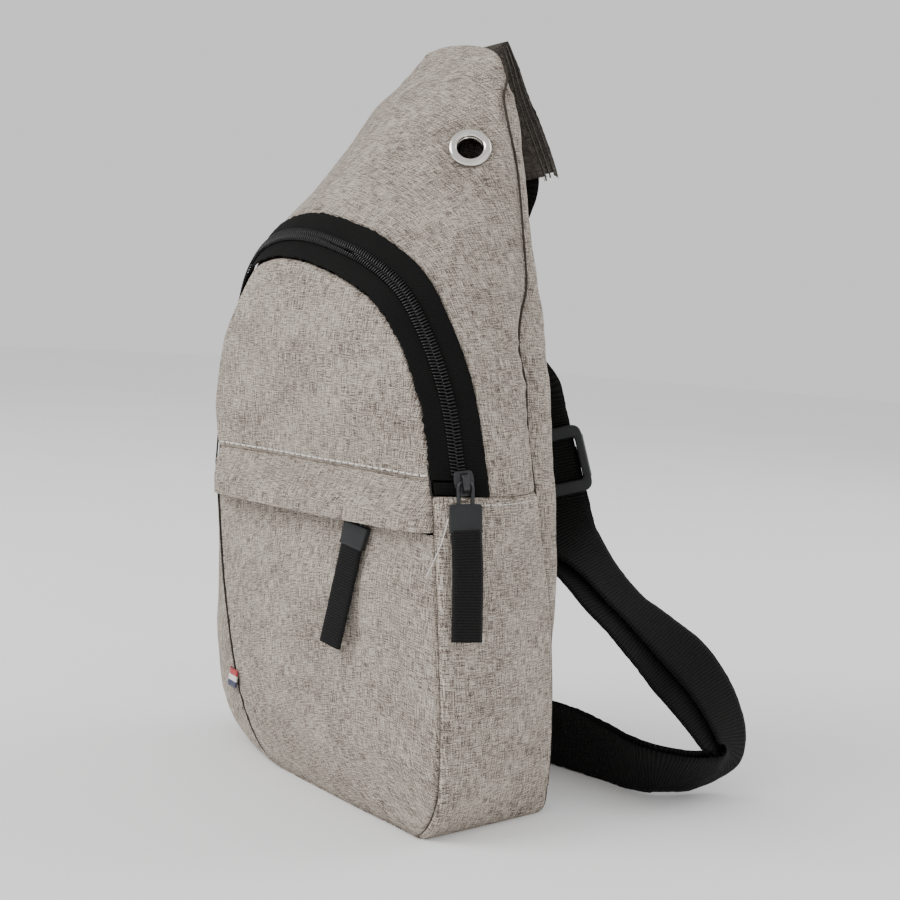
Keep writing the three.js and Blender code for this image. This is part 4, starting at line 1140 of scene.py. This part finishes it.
POCKET_SCALE = 0.66
pocket_seat = Vector(front_face(np.array(0.722), np.array(POCKET_ZIP_Z))) + Vector((0, -0.35, 0))
pocket_along = Vector(front_face(np.array(0.75), np.array(POCKET_ZIP_Z))
                      - front_face(np.array(0.66), np.array(POCKET_ZIP_Z))).normalized()
pocket_out = -(Vector((0, 0, 1)).cross(pocket_along)).normalized()
slider("pocket_slider_cast", frame_at(pocket_seat, -pocket_along, pocket_out), POCKET_SCALE, math.pi / 2,
       "pocket_slider_body", "pocket_slider")
pocket_pivot = pocket_seat + pocket_out * PIVOT_RISE * POCKET_SCALE
pull("pocket_pull", frame_at(pocket_pivot, (0.16, 0.06, 0.986), pocket_out + Vector((0.14, 0, 0))), 8,
     ([(-6.2, -10), (6.4, -10), (7.6, 0), (-6.3, 0)], 2.8), [(-6.3, -10.1), (6.5, -10.1), (6.7, -9.0), (-6.3, -9.0)],
     (44, 1.9, 10.1), ("pocket_pull", "pocket_pull_tail"))

# ---- shoulder strap ----
WIDTH, THICK = 30, 1.5
run_up = Vector((-0.21, -0.2, 0.955)).normalized()
run_across = (Vector((0.8, 0.6, 0)) + run_up * 0.288).normalized()
adjuster_frame = frame_at((26.8, 85.6, 146), run_up, run_across.cross(run_up))


def on_run(x, y, z=0.0):
    return tuple(adjuster_frame @ Vector((x, y, z)))


RING_Z = 20.5
facing = tuple(-run_across)
flat, upright = (-1, 0, 0), (0, 0, 1)
upper_run = [
    ((5, 45.5, 330.5), flat), ((6, 50.4, 318.8), flat), ((8.5, 57.6, 302), flat), ((10.8, 64, 287), flat),
    ((11.2, 66, 279), flat), ((3.5, 65.6, 262), (-1, -0.1, 0)), ((-6, 62, 240), (-0.95, -0.25, 0)),
    ((-4.5, 61.5, 216), (-0.92, -0.4, 0)), ((5.5, 67.5, 197.5), facing),
    *[(on_run(0, y), facing) for y in (36, 28, 20, 12, 4, -4, -12, -18, -23)]]
loop_run = [
    ((38.5, 91, 113), (-0.35, -0.8, -0.4), 6, 2), ((47, 93, 106), (0.1, -0.93, -0.35), 4.6, 6),
    ((55, 95.5, 98.5), (0.3, -0.9, -0.3), 3.8, 10), ((63.5, 98.6, 90), (0.36, -0.9, -0.28), 3.4, 13),
    ((72, 102.6, 82), (0.37, -0.9, -0.25), 3.4, 14), ((80.5, 106.4, 75.4), (0.36, -0.86, -0.35), 3.4, 14),
    ((89, 110.1, 68.5), (0.28, -0.87, -0.42), 3.4, 13), ((97.5, 113.8, 61.4), (0.18, -0.88, -0.45), 3.4, 13),
    ((105.8, 117, 52.7), (0.14, -0.92, -0.38), 3.4, 13), ((114, 119.6, 41.4), (0.14, -0.95, -0.28), 3.4, 12),
    ((120.4, 120.6, 29), (0.16, -0.97, -0.1), 3.4, 10), ((122.6, 118.6, 20.5), (0.2, -0.95, 0.2), 3.4, 7),
    ((121.2, 112, 14.6), (0.4, -0.75, 0.5), 3.4, 3), ((117.6, 102.4, 12.4), (0.45, -0.55, 0.7), 3.4, 1),
    ((112.5, 92.5, 12.6), (0.45, -0.45, 0.75), 3.4, 0.4), ((104.5, 84, 13.4), (0.4, -0.4, 0.8), 3.4, 0.4),
    ((92.5, 81.2, 13.9), (0.35, -0.38, 0.83), 3.4, 0.4), ((76.3, 82, 14.9), (0.2, -0.28, 0.92), 3.4, 0.3),
    ((57, 83.5, 15.5), (0.05, -0.09, 0.99), 3.4, 0.2), ((38, 83, 15.8), upright, 3.4, 0),
    ((14, 78.5, 16.2), upright, 3.6, 0), ((-10, 72, 17.2), upright, 4.2, 0),
    ((-32, 64, 19), upright, 5.4, 0), ((-47, 58.4, RING_Z), upright, 6.2, 0)]
ring_turn = [((x, y, RING_Z), upright)
             for x, y in ((-53, 57.2), (-56.6, 58.2), (-57.9, 60.4), (-56.6, 62.6), (-53, 63.6))]
loop_path = Track(upper_run[-1][0], *[p[0] for p in loop_run], ring_turn[0][0])
return_run = []
for i, (point, lean, inside, shift) in enumerate(loop_run):
    t = (i + 1) / (len(loop_run) + 1)
    along = loop_path(t + 0.0005) - loop_path(t - 0.0005)
    along /= np.linalg.norm(along)
    width = np.array(lean, float)
    width -= along * (width @ along)
    width /= np.linalg.norm(width)
    return_run.append((tuple(np.array(point) + np.cross(along, width) * inside + width * shift), lean))
strap_stations = [*upper_run, *[s[:2] for s in loop_run], *ring_turn, *return_run[::-1],
                  (on_run(0.3, -24, -6.1), facing), (on_run(0, -16, -5.75), facing)]


def webbing(name, stations, width, thick, count, material, slot, body="bag_body", **more):
    t = np.linspace(0, 1, count)
    return ribbon(name, Track(*[s[0] for s in stations])(t), Track(*[s[1] for s in stations])(t), width, thick,
                  material, slot, body, **more)


strap = webbing("strap_ribbon", strap_stations, WIDTH, THICK, 1400, WEBBING, "black_webbing", crown=0.3,
                fray=0.35, section=11)
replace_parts(strap, "strap_webbing")
end_turn = [(-11, -1.75), (-6, -1.75), (1.2, -1.75), (4.2, -2.4), (5.2, -3.75), (4.2, -5.1), (1.2, -5.75),
            (-6, -5.75), (-15, -5.75)]
sewn = webbing("strap_end_ribbon", [(on_run(0, y, z), facing) for y, z in end_turn], WIDTH, THICK, 90, WEBBING,
               "black_webbing", "adjuster", crown=0.1, fray=0.3, section=11)
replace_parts(sewn, "strap_sewn_end")

frame_outline = rounded(box_outline(39, 33), 5.5, 8)
frame_hole = rounded(box_outline(31.4, 21), 2.0, 4)[::-1]
front_frame = slab([frame_outline, frame_hole], 1.02, 3.3, 0.75)
side_rails = [slab([rounded(box_outline(3.6, 22), 1.2)], -4.75, 3.0, 0.6) for _ in range(2)]
for mesh, x in zip(side_rails, (-17.7, 17.7)):
    mesh.transform(Matrix.Translation((x, 0, 0)))
middle_bar = slab([rounded(box_outline(38, 4), 0.8)], -4.75, -2.75, 0.5)
adjuster = assembled("adjuster_frame", [front_frame, *side_rails, middle_bar], adjuster_frame, PLASTIC,
                     "adjuster", 50)
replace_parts(adjuster, "strap_adjuster")

ring_path = np.array([(-60.3 + x, 60.4, RING_Z + z)
                      for x, z in rounded([(-5.7, -17.4), (5.7, -17.4), (5.7, 17.4), (-5.7, 17.4)], 4.5, 7)])
ring = tubes("bottom_ring_wire", [ring_path], 1.3, PLASTIC, sides=14, closed=True)
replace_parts(ring, "bottom_ring")
tab_path = [(-90.6, 26.5), (-90.2, 38), (-84, 48), (-75, 55.5), (-69.5, 57.9), (-66, 57.6), (-63.2, 60.4),
            (-66, 63.2), (-70, 62.4), (-77, 58.6), (-87, 50), (-92.8, 40), (-93, 26.5)]
low_tab = webbing("bottom_tab_ribbon", [((x, y, RING_Z), upright) for x, y in tab_path], WIDTH - 1, 1.2, 160,
                  WEBBING, "black_webbing", crown=0.1, fray=0.25)
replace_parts(low_tab, "bottom_tab")

# The top tab is a folded strip of the body's cloth: several layers with a raw end.
tab_line = [(4, 39.9, 338.2), (4.8, 44.2, 330), (6.3, 49.2, 317.8), (9.8, 57, 301), (12.6, 63.8, 286),
            (13.1, 65.5, 281.6)]
tab_edges = []
for node, layers in (("top_tab_inner", (0.0, -2.0)), ("top_tab_outer", (3.3, 5.3, 7.2))):
    for k, lift in enumerate(layers):
        fan = np.interp(np.arange(len(tab_line)), [0, 1, 3], [0.45, 0.7, 1]) * lift
        stations = [((x - 0.4 * k, y + 0.9 * f, z + 0.43 * f - 0.7 * k), flat)
                    for (x, y, z), f in zip(tab_line, fan)]
        layer = webbing(f"{node}_layer_{k + 1}", stations, 42 - 0.8 * k, 1.1, 70, DARK, "dark_fabric",
                        crown=0.3 + 0.2 * k, fray=0.9)
        tab_edges.append([(x + 20.7 - 0.4 * k, y, z) for (x, y, z), _ in stations])
        if k == 0:
            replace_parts(layer, node)
tubes("top_tab_edges", [Track(*edge)(np.linspace(0, 1, 60)) for edge in tab_edges], 0.4, DARK)
FRINGE_THREADS = 34
random = np.random.default_rng(4)
tab_end, tab_down = np.array(tab_line[-1]), np.array([0.08, 0.33, -0.94])
fringe = []
for k in range(FRINGE_THREADS):
    lift = random.choice([0.0, 3.3, 5.3, 7.2])
    start = tab_end + np.array([random.uniform(-20.5, 20.5), 0.9 * lift, 0.43 * lift + 0.4])
    drift = np.array([random.uniform(-0.4, 0.4), random.uniform(-0.3, 0.5), 0])
    reach = random.uniform(0.9, 2.4)
    fringe.append([start + (tab_down * s + drift * s * s) * reach for s in np.linspace(0, 1, 5)])
tubes("top_tab_fringe", fringe, 0.14, DARK, sides=4)

tag_seat = front_left(np.array(33.0)) + np.array([0, -2.95, 0])
tag = webbing("side_tag_ribbon", [(tuple(tag_seat + np.array([x, y, 0])), (0.25, 0, 1))
                                  for x, y in ((4, -1.6), (0, -0.7), (-4, 0.2), (-7.5, 2.6))], 9, 0.8, 30, RIBBON,
              "ribbon", crown=0.2, fray=0.15)
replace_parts(tag, "side_ribbon_tag")

# ---- topstitching ----


def on_panel(piece, start, end, count=500):
    """Points where straight rays from in front meet a piece, between two outside points."""
    view = bpy.context.evaluated_depsgraph_get()
    body = piece.evaluated_get(view)
    line, normals = [], []
    (a, aim), (b, aim_b) = start, end
    for s in np.linspace(0, 1, count):
        origin = Vector(np.array(a) * (1 - s) + np.array(b) * s) * MM
        toward = Vector(np.array(aim) * (1 - s) + np.array(aim_b) * s).normalized()
        hit, place, normal, _ = body.ray_cast(origin, toward)
        if hit:
            line.append(np.array(place) / MM)
            normals.append(np.array(normal))
    return line, normals


row = on_panel(flap, ((-72, -90, 148.9), (0, 1, 0)), ((72, -90, 148.9), (0, 1, 0)))
stitch_row("flap_base_stitches", *row, THREAD_LIGHT, "grey_fabric", "flap", length=3.0, gap=1.1, radius=0.38, lift=0.25)
row = on_panel(gusset, ((140, -35, 138.6), (-1, 0, 0)), ((140, 13, 138.6), (-1, 0, 0)))
stitch_row("side_seam_stitches", *row, THREAD_LIGHT, "grey_fabric", length=2.4, gap=0.9, radius=0.2)
loose = Track((87, -40.6, 134), (86.4, -42.6, 125), (83.6, -43.4, 117.5), (80.4, -44.2, 110))
tubes("loose_thread", [loose(np.linspace(0, 1, 40))], 0.17, THREAD_LIGHT, sides=6)

# ---- lights and floor ----


def add_area(name, place, target, size, power):
    data = bpy.data.lights.new(name, "AREA")
    data.shape = "SQUARE"
    data.size = size
    data.energy = power
    lamp = added(name, data)
    lamp.location = place
    lamp.rotation_euler = (Vector(target) - Vector(place)).to_track_quat("-Z", "Y").to_euler()


add_area("key", (-0.7, -1.5, 1.5), (0, 0, 0.15), 1.1, 30)
add_area("fill", (1.7, -0.4, 0.9), (0, 0, 0.15), 1.6, 2)
add_area("rim", (0.6, 1.5, 1.2), (0, 0, 0.2), 1.2, 10)
world = bpy.data.worlds.new("studio")
world.use_nodes = True
world.node_tree.nodes["Background"].inputs["Color"].default_value = (1, 1, 1, 1)
world.node_tree.nodes["Background"].inputs["Strength"].default_value = 0.9
bpy.context.scene.world = world

floor_mesh = bpy.data.meshes.new("floor")
floor_mesh.from_pydata([(-6, -6, 0), (6, -6, 0), (6, 6, 0), (-6, 6, 0)], [], [(0, 1, 2, 3)])
floor = added("floor", floor_mesh)
paper = Graph("floor_paper", 0.9)
tone = paper.noise(paper.object_place(0.004), 1.0, 2, 0.5)
paper.colour(paper.ramp(tone, [(0.3, (0.93, 0.93, 0.93)), (0.7, (0.95, 0.95, 0.95))]))
floor_mesh.materials.append(paper.material)
